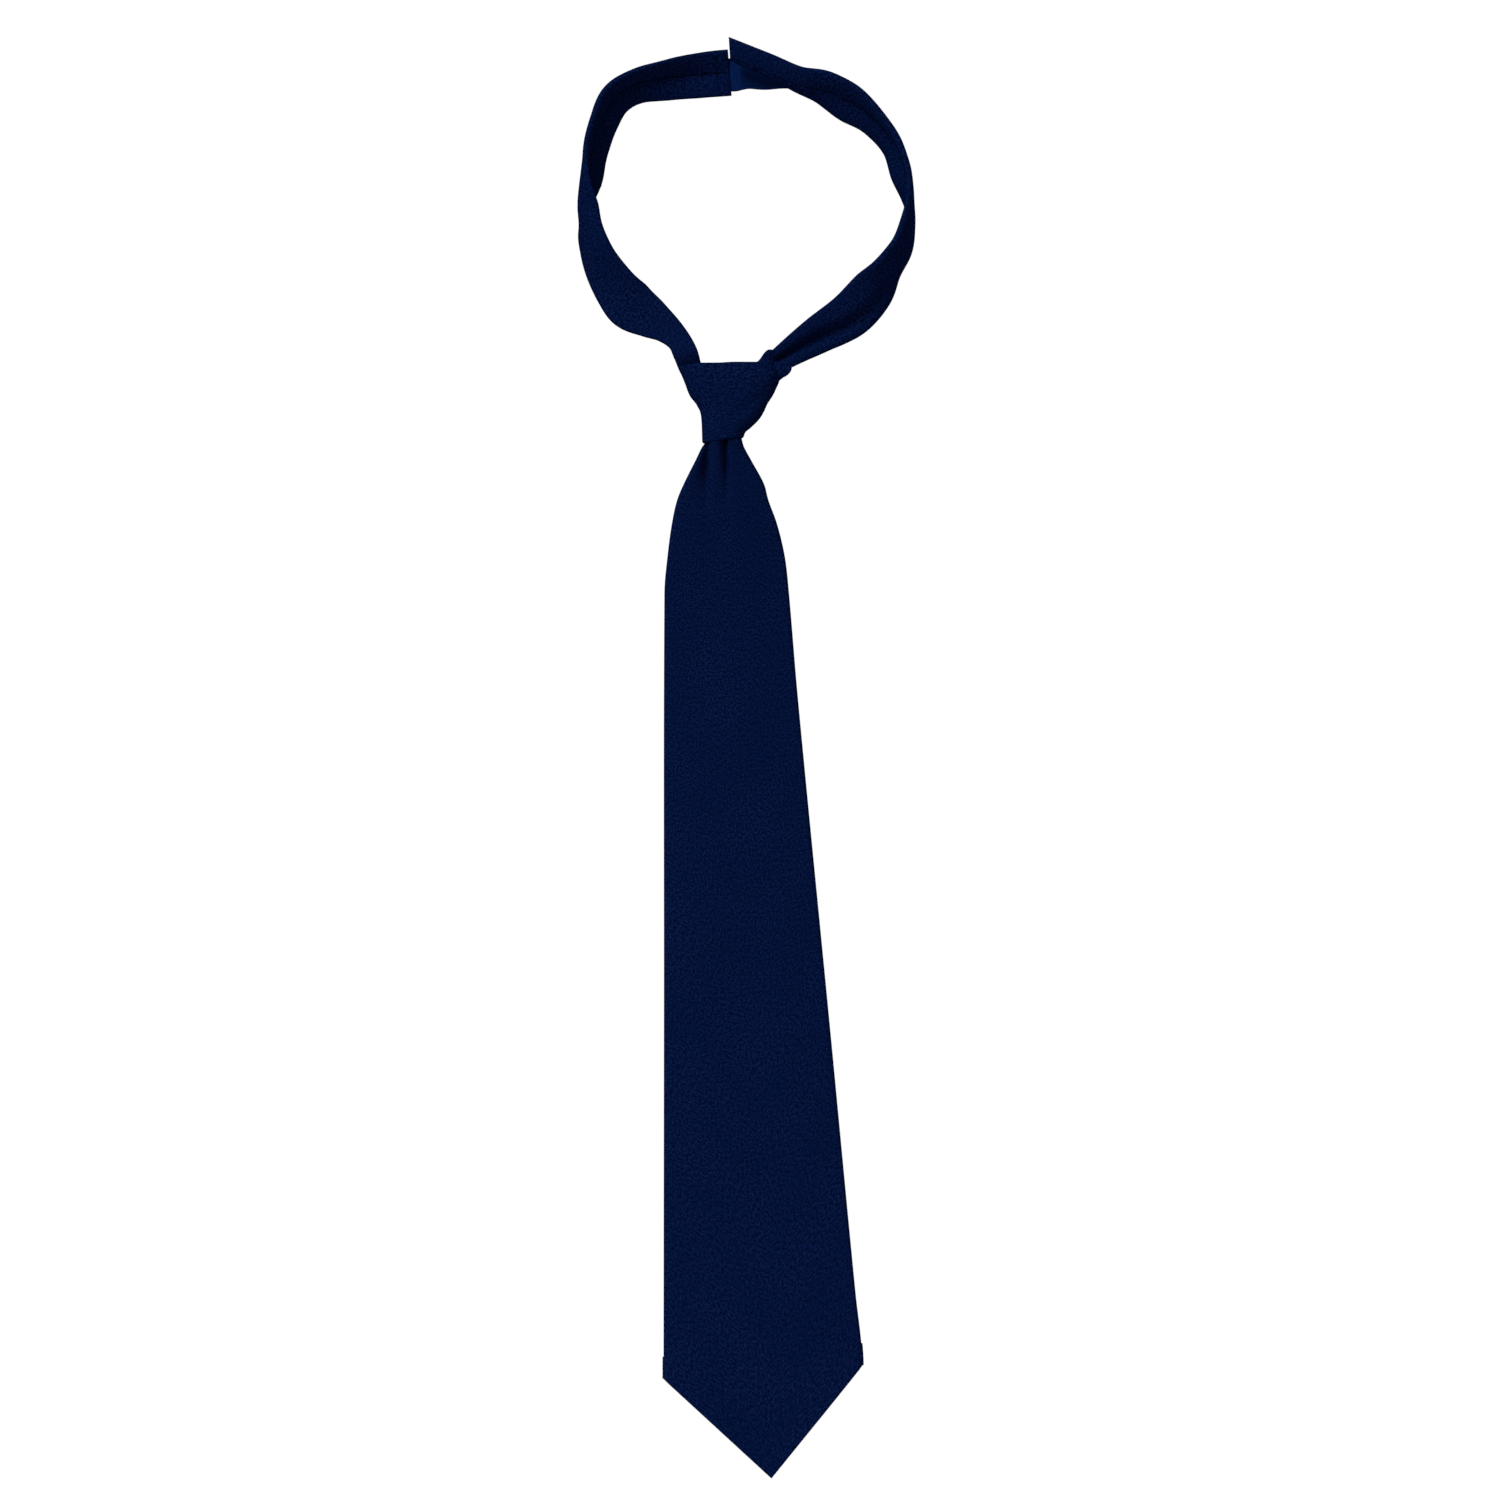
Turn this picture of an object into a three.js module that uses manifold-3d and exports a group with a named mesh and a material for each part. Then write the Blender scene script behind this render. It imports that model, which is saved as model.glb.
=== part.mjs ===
// A youth necktie, pre-tied in a four-in-hand knot, with a hook-and-loop closure at the nape.
//
// Millimetres. X runs to the viewer's right, Z up, and the tie's front faces -Y.
// The origin is the middle of the knot's flat back, which rests on the collar button,
// and the whole tie lies in front of the plane Y = 0.

import * as THREE from "three";
import { mergeVertices } from "three/addons/utils/BufferGeometryUtils.js";
import Module from "manifold-3d";

// ---------------------------------------------------------------- driving dimensions

const CLEARANCE = 0.3; // air between two pieces that touch

// Neckband: a folded strip of fabric round a woven interlining
const BAND_WIDTH = 18.5;
const BAND_DEPTH = 2.6;
const BAND_WALL = 0.6;
const BAND_SLIT = 1.4; // where the two folded edges meet on the back
const BAND_STEPS = 38;
const BAND_LINING = 0.6;
const WIDEST_STRIP = 5; // a twisted face is made of strips no wider than this
const LINING_MARGIN = 1; // between the interlining and the fabric's folded edge
const THREAD = 0.6;
const JOIN_THREAD = 0.4;
const CROSS_THREAD = 0.3;

// Where the pieces of a neckband half lie along it, in steps from the knot
const LEFT_LINING_STEPS = [1, 34];
const LEFT_SEAM_STEPS = [1, 36];
const BIAS_JOIN_STEPS = [21.3, 21.6]; // the stitches that join two lengths of bias strip
const ANCHOR_STEPS = [35, 38]; // the end of the hook tape that is sewn into the left half
const ANCHOR_STITCH_STEPS = [37.1, 37.4];
const RIGHT_LINING_STEPS = [1, 37.5];
const RIGHT_SEAM_STEPS = [1, 37.5];
const LOOP_TAPE_STEPS = [28, 37.5];

// Blade, from its front face back: fabric, interlining, tipping, folded-over fabric
const BLADE_TOP = -19;
const BLADE_DEPTH = 3.3;
const BLADE_WALL = 0.6;
const BLADE_SLIT = 1.2;
const BLADE_HEM = 8;
const BLADE_FACE_THROAT = -14.5; // Y of the front face where it leaves the knot
const BLADE_FACE_FLAT = -7.9; // Y of the front face lower down
const BLADE_BEND_ENDS = -92;

// Tail, the narrow end that hangs behind the blade
const TAIL_TOP = -24;
const TAIL_DEPTH = 2.6;
const TAIL_WALL = 0.4;
const TAIL_HALF_WIDTH = 14;
const TAIL_CORNER = -230;
const TAIL_SETBACK = BLADE_DEPTH + CLEARANCE;
const TAIL_LEAN = 9; // how far the tail's middle drifts to the right
const BAR_TACK = [5, 0.5, 1];

// Keeper loop across the blade's back
const KEEPER_Z = -192;
const KEEPER_HEIGHT = 10;
const KEEPER_HALF_SPAN = 22;
const KEEPER_WALL = 0.6;
const KEEPER_ROOM = 2; // beside the tail, under the loop
const KEEPER_STITCH = [0.8, 0.4, KEEPER_HEIGHT - 2];

// Care label, left blank
const LABEL = [24, 0.4, 30];
const LABEL_Z = -282;
const LABEL_SHIFT = 4;

// Hook and loop closure
const TAPE_WIDTH = 12.7;
const TAPE_BACKING = 0.5;
const PILE = 0.6;
const LOOP_TAPE_WIDTH = 11;
const TAB_START_X = 3;
const TAB_END_X = 27.4;
const TAB_Z = 124.9;
const TAB_Y = -3.2;
const TAB_CORNER = 2.5;
const TAB_HEM = 1.3; // bare margin round the field of hooks
const ANCHOR_HALF_WIDTH = 6;
const LOOP_HEM = 1.2; // bare margin beside the loops
const LOOP_STITCH = [0.2, 0.7]; // from the loop tape's edge

// Knot
const KNOT_FRONT = -18;
const KNOT_MIDDLE = -9;
const KNOT_RETURN = -3.7; // how far back the front wrap's two edges come
const KNOT_WALL = 1.6;
const KNOT_BACK_THICKNESS = 2.4;
const KNOT_SQUARENESS = 0.62; // 1 makes an oval section, less makes it squarer
const CORE_TOP = 8.6;
const CORE_BOTTOM = -15;
const CORE_AIR = 0.8; // between the core and the front wrap
const CUFF_RADII = [6, 5.6];
const CUFF_WALL = 1.2;
const CUFF_LENGTH = 3.2;
const CUFF_START_X = 19.9;
const CUFF_Z = 12;
const ROOT_FRONT = -12; // the neckband ends inside the knot
const ROOT_BACK = -7;

// ---------------------------------------------------------------- finishes

const NAVY_FABRIC = new THREE.MeshStandardMaterial({ color: 0x0b1d45, roughness: 0.92, metalness: 0 });
const NAVY_LINING = new THREE.MeshStandardMaterial({ color: 0x10264f, roughness: 0.55, metalness: 0 });
const WOOL_INTERLINING = new THREE.MeshStandardMaterial({ color: 0xc9c4b4, roughness: 1, metalness: 0 });
const NAVY_THREAD = new THREE.MeshStandardMaterial({ color: 0x0a1838, roughness: 0.7, metalness: 0 });
const NAVY_TAPE = new THREE.MeshStandardMaterial({ color: 0x14284f, roughness: 0.8, metalness: 0 });
const LABEL_SATIN = new THREE.MeshStandardMaterial({ color: 0xd9dce2, roughness: 0.4, metalness: 0 });

const necktie = new THREE.Group();

function addPiece(name, geometry, material) {
  const mesh = new THREE.Mesh(geometry, material);
  mesh.name = name;
  necktie.add(mesh);
}

// ---------------------------------------------------------------- solids: join and cut

const wasm = await Module();
wasm.setup();

function solidOf(geometry) {
  const bare = geometry.clone();
  bare.deleteAttribute("normal");
  bare.deleteAttribute("uv");
  const merged = mergeVertices(bare, 1e-4);
  return new wasm.Manifold(
    new wasm.Mesh({
      numProp: 3,
      vertProperties: Float32Array.from(merged.attributes.position.array),
      triVerts: Uint32Array.from(merged.index.array),
    }),
  );
}

function geometryOf(solid) {
  const mesh = solid.getMesh();
  const geometry = new THREE.BufferGeometry();
  geometry.setAttribute("position", new THREE.BufferAttribute(mesh.vertProperties, mesh.numProp));
  geometry.setIndex(new THREE.BufferAttribute(mesh.triVerts, 1));
  return geometry;
}

function cut(geometry, ...cutters) {
  const whole = solidOf(geometry);
  return geometryOf(cutters.reduce((solid, cutter) => solid.subtract(solidOf(cutter)), whole));
}

// ---------------------------------------------------------------- shaping helpers

// Moves every vertex of a plain shape to where `place` puts it.
function formed(geometry, place) {
  const position = geometry.attributes.position;
  for (let i = 0; i < position.count; i += 1) {
    const to = place(position.getX(i), position.getY(i), position.getZ(i));
    position.setXYZ(i, to.x, to.y, to.z);
  }
  return geometry;
}

// Reads a list of [key, value] rows, keys falling, as a broken line.
function onLine(rows, key) {
  for (let i = 1; i < rows.length; i += 1) {
    const [k0, v0] = rows[i - 1];
    const [k1, v1] = rows[i];
    if (key >= k1 || i === rows.length - 1) return v0 + ((v1 - v0) * (key - k0)) / (k1 - k0);
  }
  return rows[0][1];
}

function outline(points) {
  return new THREE.Shape(points.map(([x, y]) => new THREE.Vector2(x, y)));
}

function rectangle(left, right, low, high) {
  return outline([
    [left, low],
    [right, low],
    [right, high],
    [left, high],
  ]);
}

// A shape drawn in X and Z, given thickness along Y.
function upright(shape, front, back) {
  const slab = new THREE.ExtrudeGeometry(shape, {
    depth: back - front,
    bevelEnabled: false,
    curveSegments: 3,
  });
  slab.rotateX(Math.PI / 2);
  slab.translate(0, back, 0);
  return slab;
}

// The same corners, with points added along each long side.
function withStrips(points) {
  return points.flatMap(([x, y], i) => {
    const [nextX, nextY] = points[(i + 1) % points.length];
    const strips = Math.ceil(Math.hypot(nextX - x, nextY - y) / WIDEST_STRIP);
    return Array.from({ length: strips }, (_, k) => [
      x + ((nextX - x) * k) / strips,
      y + ((nextY - y) * k) / strips,
    ]);
  });
}

function flatSection(left, right, front, back) {
  return outline(
    withStrips([
      [left, front],
      [right, front],
      [right, back],
      [left, back],
    ]),
  );
}

// Fabric folded round to the back, its two edges a slit apart.
function foldedSection(width, depth, wall, slit) {
  const half = width / 2;
  const gap = slit / 2;
  const corners = [
    [-half, 0],
    [half, 0],
    [half, depth],
    [gap, depth],
    [gap, depth - wall],
    [half - wall, depth - wall],
    [half - wall, wall],
    [-half + wall, wall],
    [-half + wall, depth - wall],
    [-gap, depth - wall],
    [-gap, depth],
    [-half, depth],
  ];
  return outline(withStrips(corners));
}

// ---------------------------------------------------------------- ribbons

// A ribbon follows stations of [x, y, z, roll, width]. The roll is 0 where the front face
// looks at the viewer and 90 degrees where it looks out of the neck loop.
function makeRibbon(stations, side) {
  const route = new THREE.CatmullRomCurve3(
    stations.map(([x, y, z]) => new THREE.Vector3(x, y, z)),
    false,
    "catmullrom",
  );
  const manner = new THREE.CatmullRomCurve3(
    stations.map(([, , , roll, width]) => new THREE.Vector3(roll, width, 0)),
    false,
    "catmullrom",
  );
  const depthAxis = new THREE.Vector3(0, 1, 0);

  // u: across the ribbon, for a ribbon of full width; v: from its front face back
  function pointAt(u, v, along) {
    const centre = route.getPoint(along);
    const tangent = route.getTangent(along);
    const { x: roll, y: width } = manner.getPoint(along);
    const outward = new THREE.Vector3().crossVectors(tangent, depthAxis).normalize().multiplyScalar(side);
    const forward = new THREE.Vector3().crossVectors(tangent, outward).normalize();
    if (forward.y > 0) forward.negate();
    const angle = THREE.MathUtils.degToRad(roll);
    const facing = forward.multiplyScalar(Math.cos(angle)).addScaledVector(outward, Math.sin(angle));
    const across = new THREE.Vector3().crossVectors(tangent, facing);
    return centre
      .addScaledVector(across, (u * width) / BAND_WIDTH)
      .addScaledVector(facing, BAND_DEPTH / 2 - v);
  }

  // Straight between the steps of the ribbon, so that every layer bends at the same places.
  return function place(u, v, step) {
    const low = Math.min(Math.floor(step), BAND_STEPS - 1);
    const start = pointAt(u, v, low / BAND_STEPS);
    return start.lerp(pointAt(u, v, (low + 1) / BAND_STEPS), step - low);
  };
}

// A section swept from one step of a ribbon to another.
function onRibbon(place, section, from = 0, to = BAND_STEPS) {
  const length = to - from;
  const strip = new THREE.ExtrudeGeometry(section, {
    depth: length,
    steps: Math.ceil(length),
    bevelEnabled: false,
  });
  return formed(strip, (u, v, step) => place(u, v, from + step));
}

const LEFT = 1;
const RIGHT = -1;

const leftRibbon = makeRibbon(
  [
    [-17.3, -9.5, 18.4, 4, 8.4],
    [-22.6, -9.2, 25.2, 6, 11.2],
    [-31, -9, 30.4, 8, 16.4],
    [-39, -9.2, 37, 16, 18.4],
    [-45.2, -9.6, 45.5, 40, 18.5],
    [-49.8, -9.9, 54, 54, 18.5],
    [-52.8, -10, 63.5, 66, 18.5],
    [-54.2, -10, 75, 86, 18.5],
    [-52.6, -10, 86.5, 109, 18.5],
    [-50.4, -9.9, 96, 117, 18.5],
    [-47.2, -9.6, 106, 121, 18.5],
    [-42.6, -9.2, 114.4, 126, 18.5],
    [-34.2, -8.2, 120.4, 137, 18.5],
    [-22, -6.4, 123.2, 153, 18.3],
    [-10.5, -4.6, 124.5, 168, 18],
    [1.2, TAB_Y, 125.4, 177, 17.6],
  ],
  LEFT,
);

const rightRibbon = makeRibbon(
  [
    [27, -9.8, 19.4, 12, 10.8],
    [35, -9.6, 24.8, 15, 14.4],
    [46.5, -9.6, 32.2, 18, 17.6],
    [55.2, -9.8, 41, 30, 18.5],
    [60.4, -10, 49.5, 55, 18.5],
    [65.4, -10, 58, 68, 18.5],
    [68.7, -10, 67.5, 80, 18.5],
    [68.9, -10, 77, 95, 18.5],
    [66.4, -10.1, 86.5, 109, 18.5],
    [62.6, -10.2, 96.5, 113, 18.5],
    [56.4, -10.6, 105.6, 119, 18.5],
    [47.5, -11.6, 112.6, 128, 18.5],
    [37.5, -12.8, 118.8, 128, 18],
    [26.5, -13.9, 123.6, 122, 16.8],
    [14, -14.4, 128.8, 117, 15],
    [2.2, -14.6, 134.4, 112, 13.4],
  ],
  RIGHT,
);

// ---------------------------------------------------------------- neckband halves

const bandShell = foldedSection(BAND_WIDTH, BAND_DEPTH, BAND_WALL, BAND_SLIT);
const liningHalf = BAND_WIDTH / 2 - BAND_WALL - LINING_MARGIN;
const liningDeep = (BAND_DEPTH - BAND_LINING) / 2;
const bandLining = flatSection(-liningHalf, liningHalf, liningDeep, liningDeep + BAND_LINING);
const bandThread = flatSection(-THREAD / 2, THREAD / 2, BAND_DEPTH - BAND_WALL, BAND_DEPTH);

function buildLeftBand() {
  addPiece("left_neckband_shell", onRibbon(leftRibbon, bandShell), NAVY_FABRIC);
  const lining = onRibbon(leftRibbon, bandLining, ...LEFT_LINING_STEPS);
  addPiece("left_neckband_interlining", lining, WOOL_INTERLINING);
  const seam = onRibbon(leftRibbon, bandThread, ...LEFT_SEAM_STEPS);
  addPiece("left_neckband_seam_thread", seam, NAVY_THREAD);

  const outside = BAND_DEPTH + CLEARANCE;
  const joinThread = flatSection(-BAND_WIDTH / 2 + 1, -BAND_SLIT, outside, outside + JOIN_THREAD);
  const biasJoin = onRibbon(leftRibbon, joinThread, ...BIAS_JOIN_STEPS);
  addPiece("left_neckband_join_thread", biasJoin, NAVY_THREAD);

  const half = ANCHOR_HALF_WIDTH;
  const anchorFront = (BAND_DEPTH - TAPE_BACKING) / 2;
  const anchor = flatSection(-half, half, anchorFront, anchorFront + TAPE_BACKING);
  addPiece("hook_tape_anchor", onRibbon(leftRibbon, anchor, ...ANCHOR_STEPS), NAVY_TAPE);

  const crossStitch = flatSection(-half, half, outside, outside + CROSS_THREAD);
  const stitching = onRibbon(leftRibbon, crossStitch, ...ANCHOR_STITCH_STEPS);
  addPiece("hook_tape_stitching", stitching, NAVY_THREAD);
}

function buildRightBand() {
  addPiece("right_neckband_shell", onRibbon(rightRibbon, bandShell), NAVY_FABRIC);
  const lining = onRibbon(rightRibbon, bandLining, ...RIGHT_LINING_STEPS);
  addPiece("right_neckband_interlining", lining, WOOL_INTERLINING);
  const seam = onRibbon(rightRibbon, bandThread, ...RIGHT_SEAM_STEPS);
  addPiece("right_neckband_seam_thread", seam, NAVY_THREAD);

  const backingFront = -CLEARANCE - TAPE_BACKING;
  const pileFront = backingFront - CLEARANCE - PILE;
  const half = LOOP_TAPE_WIDTH / 2;
  const [stitchEdge, stitchInside] = LOOP_STITCH;
  const backing = flatSection(-half, half, backingFront, -CLEARANCE);
  const pile = flatSection(-half + LOOP_HEM, half - LOOP_HEM, pileFront, pileFront + PILE);
  const stitch = flatSection(-half + stitchEdge, -half + stitchInside, pileFront, pileFront + PILE);
  addPiece("loop_tape_backing", onRibbon(rightRibbon, backing, ...LOOP_TAPE_STEPS), NAVY_TAPE);
  addPiece("loop_tape_pile", onRibbon(rightRibbon, pile, ...LOOP_TAPE_STEPS), NAVY_TAPE);
  addPiece("loop_tape_stitching", onRibbon(rightRibbon, stitch, ...LOOP_TAPE_STEPS), NAVY_THREAD);
}

// The free part of the hook tape, from the left half's end across behind the right half's.
function buildHookTab() {
  const length = TAB_END_X - TAB_START_X;
  const half = TAPE_WIDTH / 2;
  const tab = new THREE.Shape();
  tab.moveTo(0, -half);
  tab.lineTo(length - TAB_CORNER, -half);
  tab.quadraticCurveTo(length, -half, length, -half + TAB_CORNER);
  tab.lineTo(length, half - 2 * TAB_CORNER);
  tab.quadraticCurveTo(length, half, length - 2 * TAB_CORNER, half);
  tab.lineTo(0, half);
  const backing = upright(tab, TAB_Y - TAPE_BACKING / 2, TAB_Y + TAPE_BACKING / 2);
  backing.translate(TAB_START_X, 0, TAB_Z);
  addPiece("hook_tape_backing", backing, NAVY_TAPE);

  const field = new THREE.BoxGeometry(length - 2 * TAB_CORNER, PILE, TAPE_WIDTH - 2 * TAB_HEM);
  const fieldY = TAB_Y - TAPE_BACKING / 2 - CLEARANCE - PILE / 2;
  field.translate(TAB_START_X + length / 2, fieldY, TAB_Z - 0.4);
  addPiece("hook_tape_hooks", field, NAVY_TAPE);
}

// ---------------------------------------------------------------- blade and tail

// A hanging panel: left and right edges over Z, and a point whose foot is given over its width.
const bladeForm = {
  left: [
    [-19, -10.4],
    [-24, -12.4],
    [-33, -16.9],
    [-39.5, -19.6],
    [-48.5, -21.6],
    [-61, -23.1],
    [-75, -24.2],
    [-240, -24.4],
    [-420, -24.6],
  ],
  right: [
    [-19, 5.8],
    [-24, 8.5],
    [-33, 13.5],
    [-39.5, 15.2],
    [-48.5, 18.5],
    [-61, 21.6],
    [-75, 23.3],
    [-116, 27],
    [-240, 39.1],
    [-372, 51.8],
    [-420, 51.8],
  ],
  foot: [
    [1, -372],
    [0.542, -415.4],
    [0, -377.3],
  ],
};

// The tail leaves the knot under the blade's middle and drifts with it to the right.
function tailMiddle(z) {
  return THREE.MathUtils.mapLinear(z, TAIL_TOP, TAIL_TOP - 216, -2.2, -2.2 + TAIL_LEAN);
}

function tailHalf(z) {
  const rows = [
    [TAIL_TOP, 5.2],
    [-60, 11],
    [-100, 13],
    [TAIL_CORNER, TAIL_HALF_WIDTH],
    [-260, TAIL_HALF_WIDTH],
  ];
  return onLine(rows, z);
}

const tailHeights = [TAIL_TOP, -60, -100, TAIL_CORNER, -260];
const tailForm = {
  left: tailHeights.map((z) => [z, tailMiddle(z) - tailHalf(z)]),
  right: tailHeights.map((z) => [z, tailMiddle(z) + tailHalf(z)]),
  foot: [
    [1, TAIL_CORNER],
    [0.5, TAIL_CORNER - TAIL_HALF_WIDTH],
    [0, TAIL_CORNER],
  ],
};

// Y of the blade's front face: it comes back from the knot's front to lie flat.
function bladeFace(z) {
  const down = THREE.MathUtils.smoothstep(-z, -BLADE_TOP, -BLADE_BEND_ENDS);
  return THREE.MathUtils.lerp(BLADE_FACE_THROAT, BLADE_FACE_FLAT, down);
}

// A slab of a hanging panel, `inset` from its edges and between two depths behind the blade's front.
function panelSlab(form, { inset = 0, front, back, top, rows = 20 }) {
  const box = new THREE.BoxGeometry(1, 1, 1, 4, 1, rows);
  const tipAt = form.foot[1][0];
  return formed(box, (bx, by, bz) => {
    const share = bx + 0.5;
    const u = share <= 0.5 ? share * 2 * tipAt : tipAt + (share - 0.5) * 2 * (1 - tipAt);
    const lowest = onLine(form.foot, u) + inset * Math.SQRT2;
    const fall = (0.5 - bz) ** 1.25;
    const z = THREE.MathUtils.lerp(top, lowest, fall);
    const left = onLine(form.left, z) + inset;
    const right = onLine(form.right, z) - inset;
    return new THREE.Vector3(
      THREE.MathUtils.lerp(left, right, u),
      bladeFace(z) + THREE.MathUtils.lerp(front, back, by + 0.5),
      z,
    );
  });
}

// A strip down the middle of a panel's back.
function middleStrip(form, { width, front, back, top, bottom, rows = 12 }) {
  const box = new THREE.BoxGeometry(width, 1, 1, 1, 1, rows);
  const tipAt = form.foot[1][0];
  return formed(box, (bx, by, bz) => {
    const z = THREE.MathUtils.lerp(bottom, top, bz + 0.5);
    const middle = THREE.MathUtils.lerp(onLine(form.left, z), onLine(form.right, z), tipAt);
    return new THREE.Vector3(
      middle + bx,
      bladeFace(z) + THREE.MathUtils.lerp(front, back, by + 0.5),
      z,
    );
  });
}

// The four-cornered window at the point, where the folded edges part and the tipping shows.
function tipWindow(form, hem) {
  const [[, rightFoot], [tipAt, tip], [, leftFoot]] = form.foot;
  const left = onLine(form.left, leftFoot);
  const right = onLine(form.right, rightFoot);
  const x = THREE.MathUtils.lerp(left, right, tipAt);
  const apex = (rightFoot + leftFoot) / 2 + (right - left) / 2 - hem;
  const shape = outline([
    [x, tip + hem * Math.SQRT2],
    [right - hem, rightFoot],
    [x, apex],
    [left + hem, leftFoot],
  ]);
  return { shape, apex, x };
}

// The layers of a hanging panel, each a separate piece: folded fabric, interlining, tipping,
// slip-stitch thread up the back, and the bar tack where the folded edges part.
function buildPanel(name, form, make) {
  const { top, setback, depth, wall, slit, hem, lining, tippingTop, tippingDepth } = make;
  const back = setback + depth;
  const window = tipWindow(form, hem);
  const windowFront = bladeFace(window.apex) + back - wall - CLEARANCE / 2;
  const hollow = panelSlab(form, {
    inset: wall + 0.2,
    front: setback + wall,
    back: back - wall,
    top: top + 5,
    rows: 21,
  });
  const opening = middleStrip(form, {
    width: slit,
    front: back - wall - 0.1,
    back: back + 1,
    top: top + 5,
    bottom: window.apex - 2,
  });
  const pointWindow = upright(window.shape, windowFront, windowFront + 2 * wall);
  const shell = cut(panelSlab(form, { front: setback, back, top }), hollow, opening, pointWindow);
  addPiece(`${name}_shell`, shell, NAVY_FABRIC);

  const liningFront = setback + wall + CLEARANCE;
  const interlining = panelSlab(form, {
    front: liningFront,
    back: liningFront + lining,
    inset: wall + 0.8,
    top: top - 1.5,
  });
  addPiece(`${name}_interlining`, interlining, WOOL_INTERLINING);

  const tippingFront = liningFront + lining + CLEARANCE;
  addPiece(
    `${name}_tipping`,
    panelSlab(form, {
      inset: wall + 1,
      front: tippingFront,
      back: tippingFront + tippingDepth,
      top: tippingTop,
      rows: 6,
    }),
    NAVY_LINING,
  );

  addPiece(
    `${name}_seam_thread`,
    middleStrip(form, {
      width: slit - 2 * CLEARANCE,
      front: back - wall,
      back,
      top: BLADE_BEND_ENDS - 4,
      bottom: window.apex + 4,
    }),
    NAVY_THREAD,
  );

  const tack = new THREE.BoxGeometry(...BAR_TACK);
  tack.translate(window.x, bladeFace(window.apex) + back + 0.35, window.apex + 2);
  addPiece(`${name}_bar_tack`, tack, NAVY_THREAD);
}

function buildBlade() {
  buildPanel("blade", bladeForm, {
    top: BLADE_TOP,
    setback: 0,
    depth: BLADE_DEPTH,
    wall: BLADE_WALL,
    slit: BLADE_SLIT,
    hem: BLADE_HEM,
    lining: 0.8,
    tippingTop: -310,
    tippingDepth: 0.4,
  });
  buildPanel("tail", tailForm, {
    top: TAIL_TOP,
    setback: TAIL_SETBACK,
    depth: TAIL_DEPTH,
    wall: TAIL_WALL,
    slit: 1,
    hem: 4,
    lining: 0.5,
    tippingTop: -205,
    tippingDepth: 0.3,
  });
}

// The loop of the tie's own fabric that holds the tail against the blade, and the blank label.
function buildBladeTrim() {
  const middle = (onLine(bladeForm.left, KEEPER_Z) + onLine(bladeForm.right, KEEPER_Z)) / 2;
  const seat = BLADE_FACE_FLAT + BLADE_DEPTH + CLEARANCE;
  const rise = TAIL_DEPTH + CLEARANCE;
  const half = KEEPER_HALF_SPAN;
  const bridge = TAIL_HALF_WIDTH + KEEPER_ROOM;
  const strap = outline([
    [-half, 0],
    [-bridge, 0],
    [-bridge, rise],
    [bridge, rise],
    [bridge, 0],
    [half, 0],
    [half, KEEPER_WALL],
    [bridge + KEEPER_WALL, KEEPER_WALL],
    [bridge + KEEPER_WALL, rise + KEEPER_WALL],
    [-bridge - KEEPER_WALL, rise + KEEPER_WALL],
    [-bridge - KEEPER_WALL, KEEPER_WALL],
    [-half, KEEPER_WALL],
  ]);
  const keeper = new THREE.ExtrudeGeometry(strap, { depth: KEEPER_HEIGHT, bevelEnabled: false });
  keeper.translate(middle, seat, KEEPER_Z - KEEPER_HEIGHT / 2);
  addPiece("keeper_loop", keeper, NAVY_FABRIC);

  const stitchY = seat + KEEPER_WALL + CLEARANCE + KEEPER_STITCH[1] / 2;
  for (const [side, sign] of [
    ["left", -1],
    ["right", 1],
  ]) {
    const stitch = new THREE.BoxGeometry(...KEEPER_STITCH);
    stitch.translate(middle + sign * (half - 2), stitchY, KEEPER_Z);
    addPiece(`keeper_stitch_${side}`, stitch, NAVY_THREAD);
  }

  const label = new THREE.BoxGeometry(...LABEL);
  label.translate(middle + LABEL_SHIFT, seat + LABEL[1] / 2, LABEL_Z);
  addPiece("care_label", label, LABEL_SATIN);
}

// ---------------------------------------------------------------- knot

// Silhouette of the knot: X of its left and right sides over Z.
const knotLeft = [
  [18.5, -19.4],
  [12.5, -19],
  [3.9, -15.4],
  [-2.3, -11.9],
  [-8.5, -10],
  [-18, -9.8],
];
const knotRight = [
  [18.5, 18.3],
  [13, 18.9],
  [6.9, 19.4],
  [3.9, 18.1],
  [0.8, 16.6],
  [-2.3, 14.6],
  [-5.4, 13.5],
  [-8.5, 11.6],
  [-11.6, 8.1],
  [-13.1, 5.8],
  [-18, 4.8],
];

// A point on the knot's rounded section at a height, `inside` its outer face; the angle is 0 at
// the right side and 90 degrees at the front.
function knotPoint(angle, z, inside) {
  const left = onLine(knotLeft, z);
  const right = onLine(knotRight, z);
  const halfWidth = (right - left) / 2 - inside;
  const halfDepth = KNOT_MIDDLE - KNOT_FRONT - inside;
  const cos = Math.cos(angle);
  const sin = Math.sin(angle);
  return new THREE.Vector3(
    (left + right) / 2 + halfWidth * Math.sign(cos) * Math.abs(cos) ** KNOT_SQUARENESS,
    KNOT_MIDDLE - halfDepth * Math.sign(sin) * Math.abs(sin) ** KNOT_SQUARENESS,
    z,
  );
}

// The front wrap's rims: level over the middle, rising over the right half of the neckband.
function wrapTop(x) {
  if (x > 11.6) return 14.2 + (Math.min(x, 18.1) - 11.6) * 0.66;
  return 13.9 + Math.min(0, (x + 10.8) * 0.16);
}

function wrapBottom(x) {
  return -17.5 + (THREE.MathUtils.clamp(x, -9.5, 5) + 9.5) * 0.14;
}

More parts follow.
